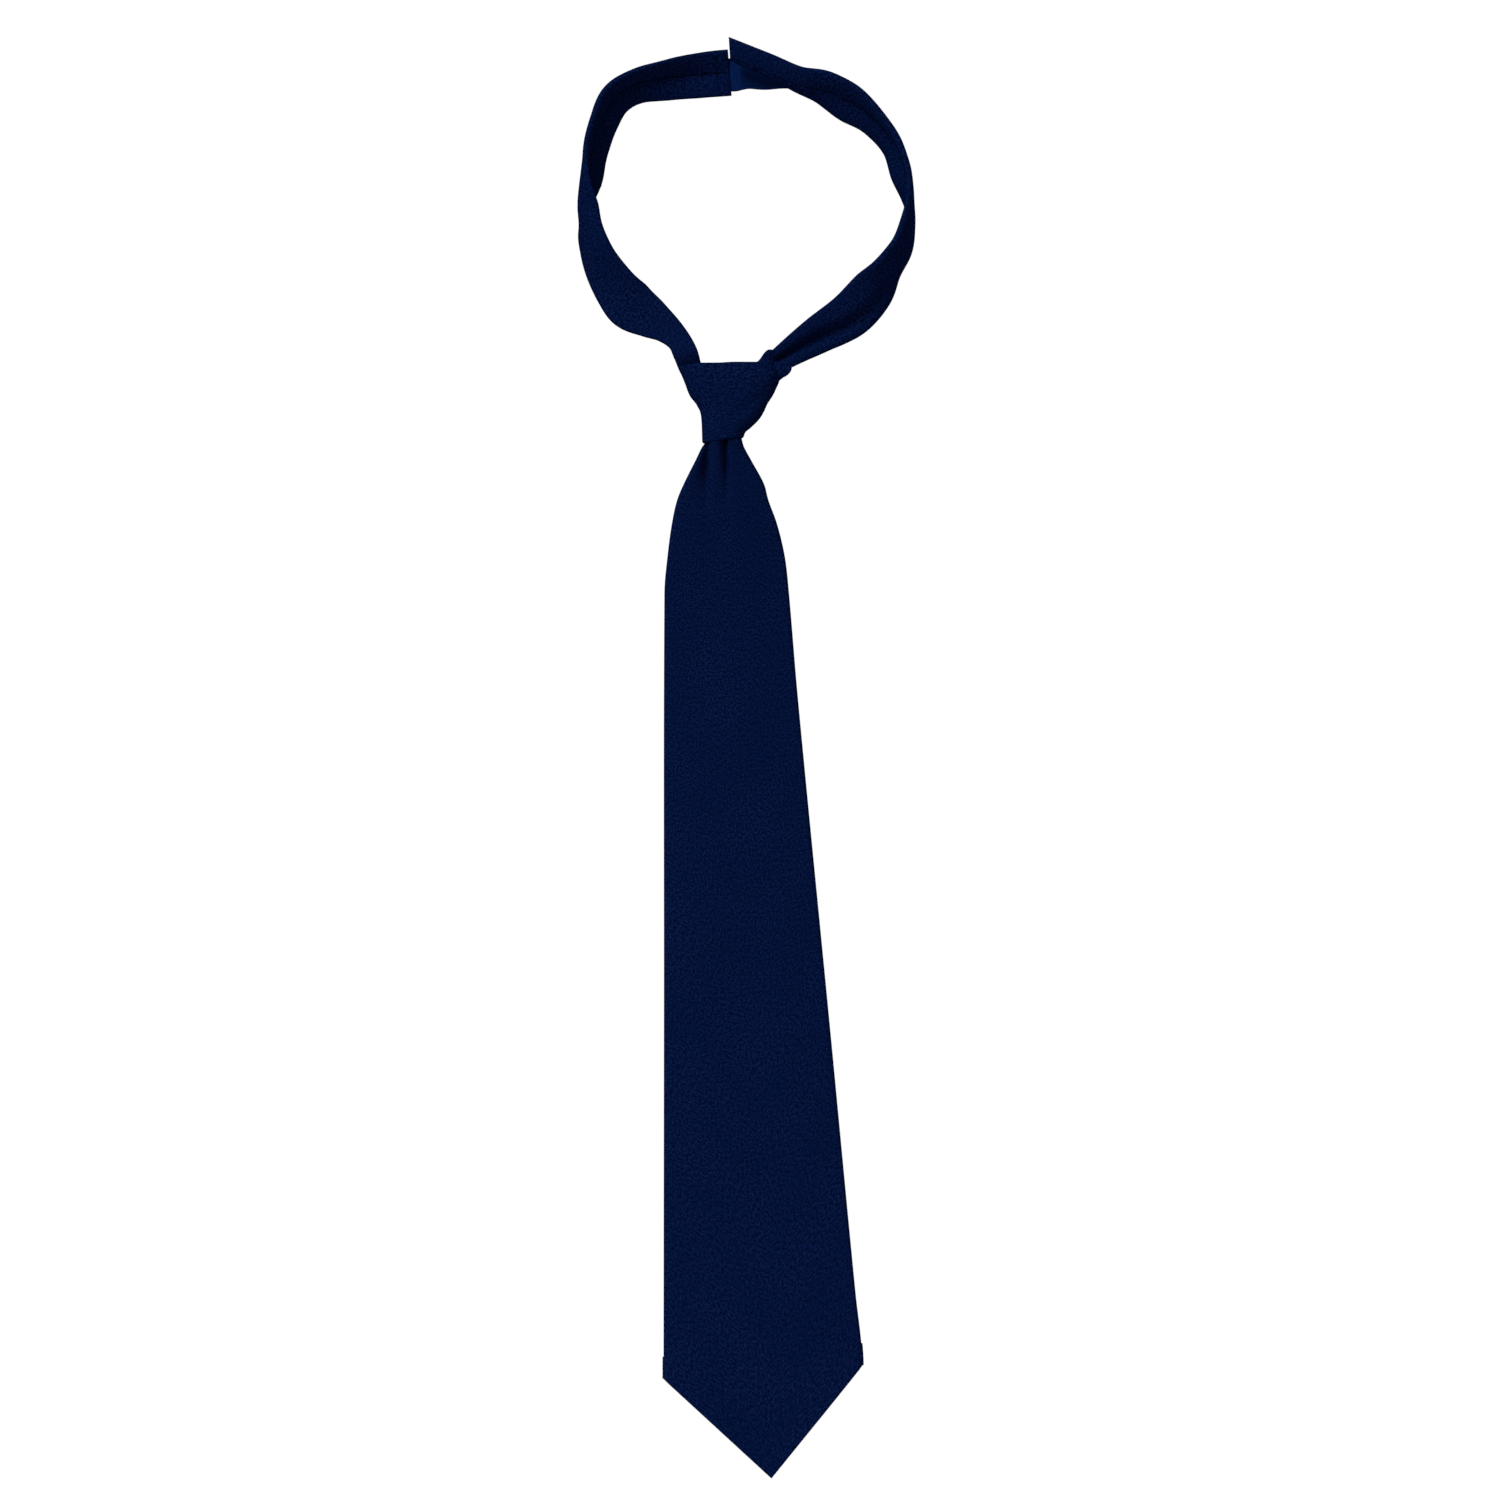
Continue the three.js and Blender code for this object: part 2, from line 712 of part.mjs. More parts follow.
// A bar through the knot's side that clears the way for one half of the neckband.
function bandTunnel(x, z, degrees, height) {
  const tunnel = new THREE.BoxGeometry(16, 16, height);
  tunnel.rotateY(-THREE.MathUtils.degToRad(degrees));
  tunnel.translate(x, KNOT_MIDDLE + 2.6, z);
  return tunnel;
}

function buildKnot() {
  const returned = (KNOT_RETURN - KNOT_MIDDLE) / (KNOT_MIDDLE - KNOT_FRONT);
  const overlap = Math.asin(returned ** (1 / KNOT_SQUARENESS));
  const wrap = formed(new THREE.BoxGeometry(1, 1, 1, 26, 1, 8), (bx, by, bz) => {
    const angle = THREE.MathUtils.lerp(Math.PI + overlap, -overlap, bx + 0.5);
    const inside = (by + 0.5) * KNOT_WALL;
    const x = knotPoint(angle, 0, inside).x;
    const z = THREE.MathUtils.lerp(wrapBottom(x), wrapTop(x), bz + 0.5);
    return knotPoint(angle, z, inside);
  });
  const leftTunnel = bandTunnel(-18, 17, 125, 9);
  const rightTunnel = bandTunnel(22, 14.5, 32, 12);
  addPiece("knot_front_wrap", cut(wrap, leftTunnel, rightTunnel), NAVY_FABRIC);

  const coreInside = KNOT_WALL + CORE_AIR;
  const core = formed(new THREE.CylinderGeometry(1, 1, 1, 22, 5), (cx, cy, cz) => {
    const z = THREE.MathUtils.lerp(CORE_BOTTOM, CORE_TOP, cy + 0.5);
    const edge = knotPoint(Math.atan2(cz, cx), z, coreInside);
    const share = Math.min(1, Math.hypot(cx, cz));
    const middle = (onLine(knotLeft, z) + onLine(knotRight, z)) / 2;
    return new THREE.Vector3(
      THREE.MathUtils.lerp(middle, edge.x, share),
      Math.min(THREE.MathUtils.lerp(KNOT_MIDDLE, edge.y, share), -KNOT_BACK_THICKNESS - 1),
      z,
    );
  });
  addPiece("knot_core", core, NAVY_FABRIC);

  const backTurn = outline([
    [-13.6, 10],
    [14.6, 10],
    [15, 5],
    [10.4, -4],
    [4.4, -12],
    [-7.4, -13],
    [-9.2, -3],
  ]);
  addPiece("knot_back_turn", upright(backTurn, -KNOT_BACK_THICKNESS, 0), NAVY_FABRIC);

  const tack = rectangle(-4, 4, 10.6, 11.4);
  addPiece("knot_tack_thread", upright(tack, -5.4, -2), NAVY_THREAD);
}

// The cuff of fabric that the knot folds over the right half, and the ends of both halves
// that are tucked into the knot.
function buildKnotSides() {
  const cuff = new THREE.Shape();
  const from = -0.3 * Math.PI;
  const to = 1.15 * Math.PI;
  const [radiusY, radiusZ] = CUFF_RADII;
  cuff.absellipse(0, 0, radiusY, radiusZ, from, to, false, 0);
  const inner = new THREE.Path();
  inner.absellipse(0, 0, radiusY - CUFF_WALL, radiusZ - CUFF_WALL, to, from, true, 0);
  const ring = outline([...cuff.getPoints(9), ...inner.getPoints(9)].map(({ x, y }) => [x, y]));
  const cross = new THREE.ExtrudeGeometry(ring, { depth: CUFF_LENGTH, bevelEnabled: false });
  formed(cross, (a, b, along) => {
    const x = CUFF_START_X + along - b * 0.12;
    return new THREE.Vector3(x, KNOT_MIDDLE - 0.6 - a, CUFF_Z - b);
  });
  addPiece("knot_cross_turn", cross, NAVY_FABRIC);

  const leftRoot = outline([
    [-14.6, 9.4],
    [-8.6, 9.4],
    [-10.6, 13.2],
    [-13.2, 13.2],
  ]);
  addPiece("left_neckband_root", upright(leftRoot, ROOT_FRONT, ROOT_BACK), NAVY_FABRIC);

  const rightRoot = outline([
    [11.4, 9.4],
    [18.6, 9.4],
    [22, 13.4],
    [19.6, 16.4],
    [14, 13.6],
  ]);
  addPiece("right_neckband_root", upright(rightRoot, ROOT_FRONT, ROOT_BACK), NAVY_FABRIC);
}

buildKnot();
buildKnotSides();
buildLeftBand();
buildRightBand();
buildHookTab();
buildBlade();
buildBladeTrim();

export default necktie;
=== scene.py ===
"""A youth necktie, pre-tied in a four-in-hand knot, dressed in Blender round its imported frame.

Every fabric piece is the folded sheet that the real tie is sewn from: it is laid out as a grid,
folded round its interlining, and given the thickness of the cloth. Metres throughout, with +Z
up and the front of the tie facing -Y; sizes are written in millimetres and turned by MM.
"""

from __future__ import annotations

import logging
import math
from collections.abc import Callable, Sequence
from dataclasses import astuple, dataclass, field
from enum import Enum
from functools import partial

import bmesh
import bpy
import numpy as np
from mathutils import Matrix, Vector, noise

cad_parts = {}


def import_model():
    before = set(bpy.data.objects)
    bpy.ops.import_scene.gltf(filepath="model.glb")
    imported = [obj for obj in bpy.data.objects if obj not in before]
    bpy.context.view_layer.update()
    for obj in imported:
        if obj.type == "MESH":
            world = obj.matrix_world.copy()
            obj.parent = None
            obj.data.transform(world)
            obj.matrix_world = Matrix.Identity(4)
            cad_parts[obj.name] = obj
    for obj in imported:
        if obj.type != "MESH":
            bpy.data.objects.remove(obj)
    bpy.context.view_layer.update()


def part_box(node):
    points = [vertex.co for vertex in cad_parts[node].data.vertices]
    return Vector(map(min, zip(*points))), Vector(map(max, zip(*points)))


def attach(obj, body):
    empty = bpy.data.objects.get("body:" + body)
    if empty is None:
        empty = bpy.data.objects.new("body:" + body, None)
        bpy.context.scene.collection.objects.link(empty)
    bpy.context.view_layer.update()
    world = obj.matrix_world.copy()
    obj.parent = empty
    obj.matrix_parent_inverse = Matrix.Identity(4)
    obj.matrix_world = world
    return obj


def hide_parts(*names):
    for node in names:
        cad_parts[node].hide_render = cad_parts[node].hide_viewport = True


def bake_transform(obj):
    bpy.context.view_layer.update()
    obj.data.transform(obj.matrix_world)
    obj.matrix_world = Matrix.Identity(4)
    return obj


LOG = logging.getLogger("necktie")
MM = 0.001
WEAVE_UV = "Weave"

Place = Callable[[float, float], Vector]
Rows = Sequence[tuple[float, float]]
Bars = Sequence[tuple[Vector, Vector, Vector]]  # each bar's middle, direction and top
Size = tuple[float, float, float]

RIGHTWARD = Vector((1, 0, 0))
BACKWARD = Vector((0, 1, 0))
FORWARD = Vector((0, -1, 0))
UPWARD = Vector((0, 0, 1))


class Side(Enum):
    """Which half of the neckband a piece belongs to, with the sign that turns it outward."""

    LEFT = 1
    RIGHT = -1


class Slot(Enum):
    """The record's material slots."""

    FABRIC = "fabric"
    TIPPING = "tipping"
    INTERLINING = "interlining"
    THREAD = "thread"
    TAPE = "tape"
    LABEL = "label"


# ------------------------------------------------------------------ numbers and curves


def hermite(t: float, ends: Sequence, slopes: Sequence) -> float | np.ndarray:
    """The smooth passage between two values that meets a slope at each.

    Args:
        t: Share of the way.
        ends: The two values, as numbers or as arrays.
        slopes: The two slopes, measured over the whole way.

    Returns:
        The value at t.
    """
    return (
        (2 * t**3 - 3 * t**2 + 1) * ends[0]
        + (t**3 - 2 * t**2 + t) * slopes[0]
        + (3 * t**2 - 2 * t**3) * ends[1]
        + (t**3 - t**2) * slopes[1]
    )


def smooth_line(rows: Rows, key: float) -> float:
    """Reads a list of (key, value) rows as one smooth curve.

    Args:
        rows: The rows, with rising or falling keys.
        key: Where to read the curve; outside the rows the end value holds.

    Returns:
        The value at the key.
    """
    keys = [row[0] for row in rows]
    if keys[0] > keys[-1]:
        rows = list(reversed(rows))
        keys = [row[0] for row in rows]
    if key <= keys[0]:
        return rows[0][1]
    if key >= keys[-1]:
        return rows[-1][1]
    i = int(np.searchsorted(keys, key, side="right")) - 1
    span = keys[i + 1] - keys[i]
    slopes = []
    for k in (i, i + 1):
        low, high = max(k - 1, 0), min(k + 1, len(rows) - 1)
        slopes.append(span * (rows[high][1] - rows[low][1]) / (rows[high][0] - rows[low][0]))
    return hermite((key - keys[i]) / span, (rows[i][1], rows[i + 1][1]), slopes)


def ease(low: float, high: float, x: float) -> float:
    """Rises smoothly from 0 at low to 1 at high."""
    t = min(max((x - low) / (high - low), 0.0), 1.0)
    return t * t * (3 - 2 * t)


def lerp(start: float, end: float, share: float) -> float:
    """The value at a share of the way from start to end."""
    return start + (end - start) * share


def bell(x: float, middle: float, reach: float) -> float:
    """A smooth bump of height 1 at middle, mostly within reach of it."""
    return math.exp(-(((x - middle) / reach) ** 2))


def slope_down(x: float, foot: float, reach: float) -> float:
    """Rises evenly from 0, at reach before the foot, to 1 at the foot."""
    t = min(max(1 - (foot - x) / reach, 0.0), 1.0)
    return t * t * (1.6 - 0.6 * t)


def ripple(point: Vector, grain: float, seed: float) -> float:
    """Soft unevenness of cloth, between about -1 and 1.

    Args:
        point: Where on the piece, in metres.
        grain: The rough size of one swelling, in millimetres.
        seed: Sets one piece's pattern apart from another's.

    Returns:
        The unevenness at the point.
    """
    return noise.noise(point / (grain * MM) + Vector((seed, 3.7 * seed, -1.9 * seed)))


# ------------------------------------------------------------------ meshes


def new_object(name: str, mesh_maker: bmesh.types.BMesh) -> bpy.types.Object:
    """Turns a bmesh into a smooth-shaded object at the origin.

    Args:
        name: The piece's name.
        mesh_maker: The finished bmesh, which is freed.

    Returns:
        The new object, linked to the scene.
    """
    mesh = bpy.data.meshes.new(name)
    mesh_maker.to_mesh(mesh)
    mesh_maker.free()
    mesh.shade_smooth()
    piece = bpy.data.objects.new(name, mesh)
    bpy.context.scene.collection.objects.link(piece)
    return piece


def apply_modifiers(piece: bpy.types.Object) -> None:
    """Bakes a piece's modifiers into its mesh."""
    bpy.context.view_layer.update()
    graph = bpy.context.evaluated_depsgraph_get()
    baked = bpy.data.meshes.new_from_object(piece.evaluated_get(graph))
    piece.modifiers.clear()
    baked.shade_smooth()
    piece.data = baked


def one_side_area(piece: bpy.types.Object) -> float:
    """The area of a thin piece's one side, in square metres."""
    return sum(polygon.area for polygon in piece.data.polygons) / 2


def running_length(points: Sequence[Vector]) -> list[float]:
    """The distance run along a line of points, at each of them."""
    run = [0.0]
    for before, after in zip(points, points[1:]):
        run.append(run[-1] + (after - before).length)
    return run


def cloth_sheet(
    name: str, columns: int, rows: int, place: Place, outward: Vector, thickness: float
) -> bpy.types.Object:
    """Makes a piece of cloth from a grid: bent to shape, then given its thickness inward.

    Args:
        name: The piece's name.
        columns: Faces across.
        rows: Faces along.
        place: Gives the point in millimetres for a share across and a share along.
        outward: Which way the middle of the sheet faces.
        thickness: The cloth's thickness in millimetres.

    Returns:
        The piece, with its weave's UV map in metres.
    """
    maker = bmesh.new()
    bmesh.ops.create_grid(maker, x_segments=columns, y_segments=rows, size=0.5)
    weave = maker.loops.layers.uv.new(WEAVE_UV)
    widths = running_length([place(i / columns, 0.5) for i in range(columns + 1)])
    lengths = running_length([place(0.5, i / rows) for i in range(rows + 1)])
    for face in maker.faces:
        for loop in face.loops:
            column = round((loop.vert.co.x + 0.5) * columns)
            row = round((loop.vert.co.y + 0.5) * rows)
            loop[weave].uv = (widths[column] * MM, lengths[row] * MM)
    for vert in maker.verts:
        vert.co = place(vert.co.x + 0.5, vert.co.y + 0.5) * MM
    maker.normal_update()
    maker.faces.ensure_lookup_table()
    middle = maker.faces[len(maker.faces) // 2 + columns // 2]
    if middle.normal.dot(outward) < 0:
        bmesh.ops.reverse_faces(maker, faces=maker.faces)
    piece = new_object(name, maker)
    wall = piece.modifiers.new("cloth thickness", "SOLIDIFY")
    wall.thickness = thickness * MM
    wall.offset = -1
    wall.use_even_offset = False
    apply_modifiers(piece)
    return piece


def small_bars(name: str, bars: Bars, size: Size, rounded: bool = True) -> bpy.types.Object:
    """Makes a row of small bars, such as stitches, as one piece.

    Args:
        name: The piece's name.
        bars: For each bar its middle in millimetres, its direction, and the way its top faces.
        size: Length, width and height of a bar in millimetres.
        rounded: False for bars too small and many to be given round edges.

    Returns:
        The piece.
    """
    maker = bmesh.new()
    weave = maker.loops.layers.uv.new(WEAVE_UV)
    for middle, direction, top in bars:
        along = direction.normalized()
        across = top.cross(along).normalized()
        up = along.cross(across)
        for vert in bmesh.ops.create_cube(maker, size=1)["verts"]:
            local = vert.co.copy()
            vert.co = middle + along * local.x * size[0] + across * local.y * size[1]
            vert.co = (vert.co + up * local.z * size[2]) * MM
    if rounded:
        radius = 0.35 * min(size) * MM
        edges = maker.edges[:]
        bmesh.ops.bevel(
            maker, geom=edges, offset=radius, affect="EDGES", segments=2, profile=0.5, material=-1
        )
    for face in maker.faces:
        for loop in face.loops:
            loop[weave].uv = (loop.vert.co.x + loop.vert.co.y, loop.vert.co.z)
    bmesh.ops.recalc_face_normals(maker, faces=maker.faces)
    return new_object(name, maker)


# ------------------------------------------------------------------ finishes


def linear(hex_colour: str) -> tuple[float, float, float, float]:
    """Turns an sRGB hex colour into the linear colour that shaders read.

    Args:
        hex_colour: Six hex digits after a hash sign.

    Returns:
        Linear red, green and blue, with an alpha of 1.
    """
    parts = [int(hex_colour[i : i + 2], 16) / 255 for i in (1, 3, 5)]
    turned = [p / 12.92 if p <= 0.04045 else ((p + 0.055) / 1.055) ** 2.4 for p in parts]
    return (turned[0], turned[1], turned[2], 1.0)


def add_node(
    tree: bpy.types.NodeTree,
    kind: str,
    values: dict[str | int, object] | None = None,
    links: dict[str | int, bpy.types.NodeSocket] | None = None,
    **settings: object,
) -> bpy.types.Node:
    """Adds a shader node with its settings, socket values and links.

    Args:
        tree: The material's node tree.
        kind: The node's type name.
        values: Input socket to its value.
        links: Input socket to the output socket that feeds it.
        **settings: The node's own properties.

    Returns:
        The new node.
    """
    node = tree.nodes.new(kind)
    for name, value in settings.items():
        setattr(node, name, value)
    for socket, value in (values or {}).items():
        node.inputs[socket].default_value = value
    for socket, source in (links or {}).items():
        tree.links.new(source, node.inputs[socket])
    return node


PATCH_GRAIN = 28.0  # mm, the size of the soft patches in a cloth's shade
RIB_HEIGHT = 0.5  # of the height of the flecks
WAVE_SCALE = math.pi / 10  # a wave texture repeats every 2 pi / 20 of a unit at a scale of 1


@dataclass(frozen=True)
class Cloth:
    """A woven cloth: two yarn shades in a grain, and the relief of its threads."""

    name: str
    shade: str
    light: str
    dark: str
    grain: float  # mm, the size of one fleck of colour
    thread: float  # mm, the spacing of the threads
    relief: float  # mm, how far the threads stand up
    roughness: float
    gloss: float = 0.0  # specular level
    sheen: float = 0.0
    sheen_tint: str = "#FFFFFF"
    diagonal: float = 45.0  # degrees, the way the rib runs across the weave

    def make(self) -> bpy.types.Material:
        """Builds the material.

        Returns:
            A material that reads the piece's own weave UV, which is in metres.
        """
        material = bpy.data.materials.new(self.name)
        material.use_nodes = True
        tree = material.node_tree
        tree.nodes.clear()
        weave = add_node(tree, "ShaderNodeUVMap", uv_map=WEAVE_UV).outputs["UV"]

        def specks(size: float, detail: float, roughness: float) -> bpy.types.NodeSocket:
            """Random specks of a size in millimetres."""
            values = {"Scale": 1 / (size * MM), "Detail": detail, "Roughness": roughness}
            return add_node(tree, "ShaderNodeTexNoise", values, {"Vector": weave}).outputs["Fac"]

        def blend(
            source: bpy.types.NodeSocket, band: tuple[float, float], most: float, colours: dict, links: dict
        ) -> bpy.types.NodeSocket:
            """Mixes two colours by where a pattern lies in a band, up to a largest share."""
            values = {"From Min": band[0], "From Max": band[1], "To Max": most}
            share = add_node(tree, "ShaderNodeMapRange", values, {"Value": source}).outputs["Result"]
            return add_node(tree, "ShaderNodeMix", colours, {0: share, **links}, data_type="RGBA").outputs[2]

        first, second = 6, 7  # a mix node's colour sockets
        flecks = specks(self.grain, detail=3.0, roughness=0.8)
        patches = specks(PATCH_GRAIN, detail=2.0, roughness=0.5)
        yarn_colours = {first: linear(self.dark), second: linear(self.light)}
        yarns = blend(flecks, (0.42, 0.62), 1.0, yarn_colours, {})
        colour = blend(patches, (0.3, 0.7), 0.45, {second: linear(self.shade)}, {first: yarns})
        rotation = {"Rotation": (0.0, 0.0, math.radians(self.diagonal))}
        turned = add_node(tree, "ShaderNodeMapping", rotation, {"Vector": weave}).outputs["Vector"]
        wave = {"Scale": WAVE_SCALE / (self.thread * MM), "Distortion": 1.2}
        wave |= {"Detail": 1.0, "Detail Scale": 2.0}
        rib = add_node(tree, "ShaderNodeTexWave", wave, {"Vector": turned}, bands_direction="X")
        reliefs = {0: rib.outputs["Fac"], 2: flecks}
        height = add_node(tree, "ShaderNodeMath", {1: RIB_HEIGHT}, reliefs, operation="MULTIPLY_ADD")
        relief = {"Strength": 1.0, "Distance": self.relief * MM}
        bump = add_node(tree, "ShaderNodeBump", relief, {"Height": height.outputs[0]})
        surface = {
            "Roughness": self.roughness,
            "Specular IOR Level": self.gloss,
            "Sheen Weight": self.sheen,
            "Sheen Roughness": 0.5,
            "Sheen Tint": linear(self.sheen_tint),
        }
        inputs = {"Base Color": colour, "Normal": bump.outputs["Normal"]}
        shader = add_node(tree, "ShaderNodeBsdfPrincipled", surface, inputs)
        add_node(tree, "ShaderNodeOutputMaterial", None, {"Surface": shader.outputs[0]})
        return material


# Polyester crepe, piece-dyed navy: matt, with a pebbled face that scatters light in fine flecks.
# The real yarns are about 0.3 mm apart, too fine to see here, so the pebble is drawn at 0.9 mm.
NAVY_CREPE = Cloth(
    "navy polyester crepe", shade="#010C2A", light="#0C1B41", dark="#00031C",
    grain=0.9, thread=0.9, relief=0.09, roughness=0.95,
)

# Acetate tipping, sateen woven: smoother and a little shinier than the crepe.
NAVY_TIPPING = Cloth(
    "navy acetate tipping", shade="#031032", light="#061A4A", dark="#020B28",
    grain=0.7, thread=0.8, relief=0.05, roughness=0.5, gloss=0.05, diagonal=20.0,
)

# Undyed wool-blend interlining, brushed: off-white, open and dull.
WOOL_INTERLINING = Cloth(
    "brushed wool interlining", shade="#8F8A7C", light="#A39E8E", dark="#6E6A5E",
    grain=1.6, thread=1.2, relief=0.2, roughness=1.0, gloss=0.05, sheen=0.1, diagonal=0.0,
)

# Polyester sewing thread, twisted: a little darker than the cloth, and as matt.
NAVY_THREAD = Cloth(
    "navy sewing thread", shade="#02081C", light="#050F2C", dark="#010512",
    grain=0.5, thread=0.4, relief=0.06, roughness=0.8,
)

# Woven nylon tape, the ground of hook and loop fastener: a firm rib along its length.
NAVY_TAPE = Cloth(
    "navy nylon tape", shade="#05153A", light="#091C46", dark="#031135",
    grain=0.9, thread=0.8, relief=0.1, roughness=0.9, diagonal=0.0,
)

# Brushed nylon loop pile: soft, dull and fuzzy.
LOOP_PILE = Cloth(
    "navy loop pile", shade="#03102E", light="#0A1C46", dark="#010614",
    grain=0.8, thread=1.1, relief=0.5, roughness=1.0, sheen=0.15, sheen_tint="#4A6AAA",
)

# Woven satin label, left blank: white with a soft shine.
LABEL_SATIN = Cloth(
    "white label satin", shade="#9A9CA2", light="#A8AAB0", dark="#8C8E94",
    grain=0.6, thread=0.6, relief=0.04, roughness=0.4, gloss=0.4, sheen=0.1, diagonal=0.0,
)


@dataclass
class Wardrobe:
    """Every finish, made once, and the way a piece is dressed."""

    made: dict[str, bpy.types.Material] = field(default_factory=dict)

    def dress(self, piece: bpy.types.Object, cloth: Cloth, slot: Slot) -> None:
        """Gives a piece its finish.

        Args:
            piece: The piece.
            cloth: Its finish.
            slot: The record's material slot; not used.
        """
        if cloth.name not in self.made:
            self.made[cloth.name] = cloth.make()
        piece.data.materials.clear()
        piece.data.materials.append(self.made[cloth.name])
        LOG.info("%s: %s, %d faces", piece.name, cloth.name, len(piece.data.polygons))

    def sew(self, name: str, bars: Bars, size: Size, body: str, *nodes: str) -> None:
        """Makes a row of stitches in navy thread.

        Args:
            name: The piece's name.
            bars: The stitches, as small_bars takes them.
            size: Length, width and height of a stitch in millimetres.
            body: The body that the stitches ride.
            *nodes: The frame's nodes that they stand for.
        """
        stitches = small_bars(name, bars, size)
        self.dress(stitches, NAVY_THREAD, Slot.THREAD)
        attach(stitches, body)
        if nodes:
            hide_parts(*nodes)


# ------------------------------------------------------------------ folded cloth


def rolled_strip(
    along: float, low: float, high: float, roll: float, tuck: float, inner: float, fold: float
) -> tuple[float, float]:
    """Where a strip runs whose two rims are rolled inward.

    Args:
        along: 0 at one turned-in end, 1 at the other.
        low: Height of the lower rim.
        high: Height of the upper rim.
        roll: Radius of the rolls, in millimetres.
        tuck: How far the turned-in cloth reaches back from a rim.
        inner: Share at which the turned-in cloth passes into the roll.
        fold: Share at which the roll passes into the outer face.

    Returns:
        The height, and the distance inside the outer face.
    """
    if along < inner:
        return lerp(low + tuck, low + roll, along / inner), 2 * roll
    if along < fold:
        turn = math.pi * (along - inner) / (fold - inner)
        return low + roll - roll * math.sin(turn), roll * (1 + math.cos(turn))
    if along <= 1 - fold:
        return lerp(low + roll, high - roll, (along - fold) / (1 - 2 * fold)), 0.0
    if along < 1 - inner:
        turn = math.pi * (along - 1 + fold) / (fold - inner)
        return high - roll + roll * math.sin(turn), roll * (1 - math.cos(turn))
    return lerp(high - roll, high - tuck, (along - 1 + inner) / inner), 2 * roll


def folded_half(share: float, half: float, depth: float, gap: float) -> tuple[float, float]:
    """One half of a folded strip's section, from the middle of its front round to the slit.

    Args:
        share: 0 at the front's middle, 1 at the turned-in hem behind the slit.
        half: The strip's half width in millimetres.
        depth: Its thickness from front to back.
        gap: Half the slit's width.

    Returns:
        The distance from the middle, and the depth behind the front face.
    """
    front, edge, back, lip = 0.38, 0.52, 0.88, 0.95  # shares at which each stretch ends
    bend, hem_bend, hem_width = depth / 2, 0.45, 2.5
    valley, valley_width = 0.3 * min(depth, 2.6), 3.2
    if share <= front:
        return lerp(0, half - bend, share / front), 0.0
    if share <= edge:
        angle = math.pi * ((share - front) / (edge - front) - 0.5)
        return half - bend + bend * math.cos(angle), bend + bend * math.sin(angle)
    if share <= back:
        reach = lerp(half - bend, gap, (share - edge) / (back - edge))
        return reach, depth - valley * bell(reach, 0, valley_width)
    if share <= lip:
        angle = math.pi * (share - back) / (lip - back)
        v = depth - valley - hem_bend + hem_bend * math.cos(angle)
        return gap - hem_bend * math.sin(angle) * 0.5, v
    reach = lerp(gap, min(gap + hem_width, half - bend), (share - lip) / (1 - lip))
    return reach, depth - valley - 2 * hem_bend


@dataclass(frozen=True)
class Station:
    """One place on a ribbon's route: lengths in millimetres, angles in degrees."""

    x: float
    y: float
    z: float
    roll: float  # 0 where the front face looks at the viewer, 90 where it looks outward
    width: float
    hollow: float = 0.0  # how deep the front is channelled lengthwise
    hollow_at: float = 0.0  # where the channel runs, -1 to 1 across the width
    cup: float = 0.0  # how far the edges bend towards the back
    turn: float = 0.0  # degrees that the half beyond the seam bends towards the front


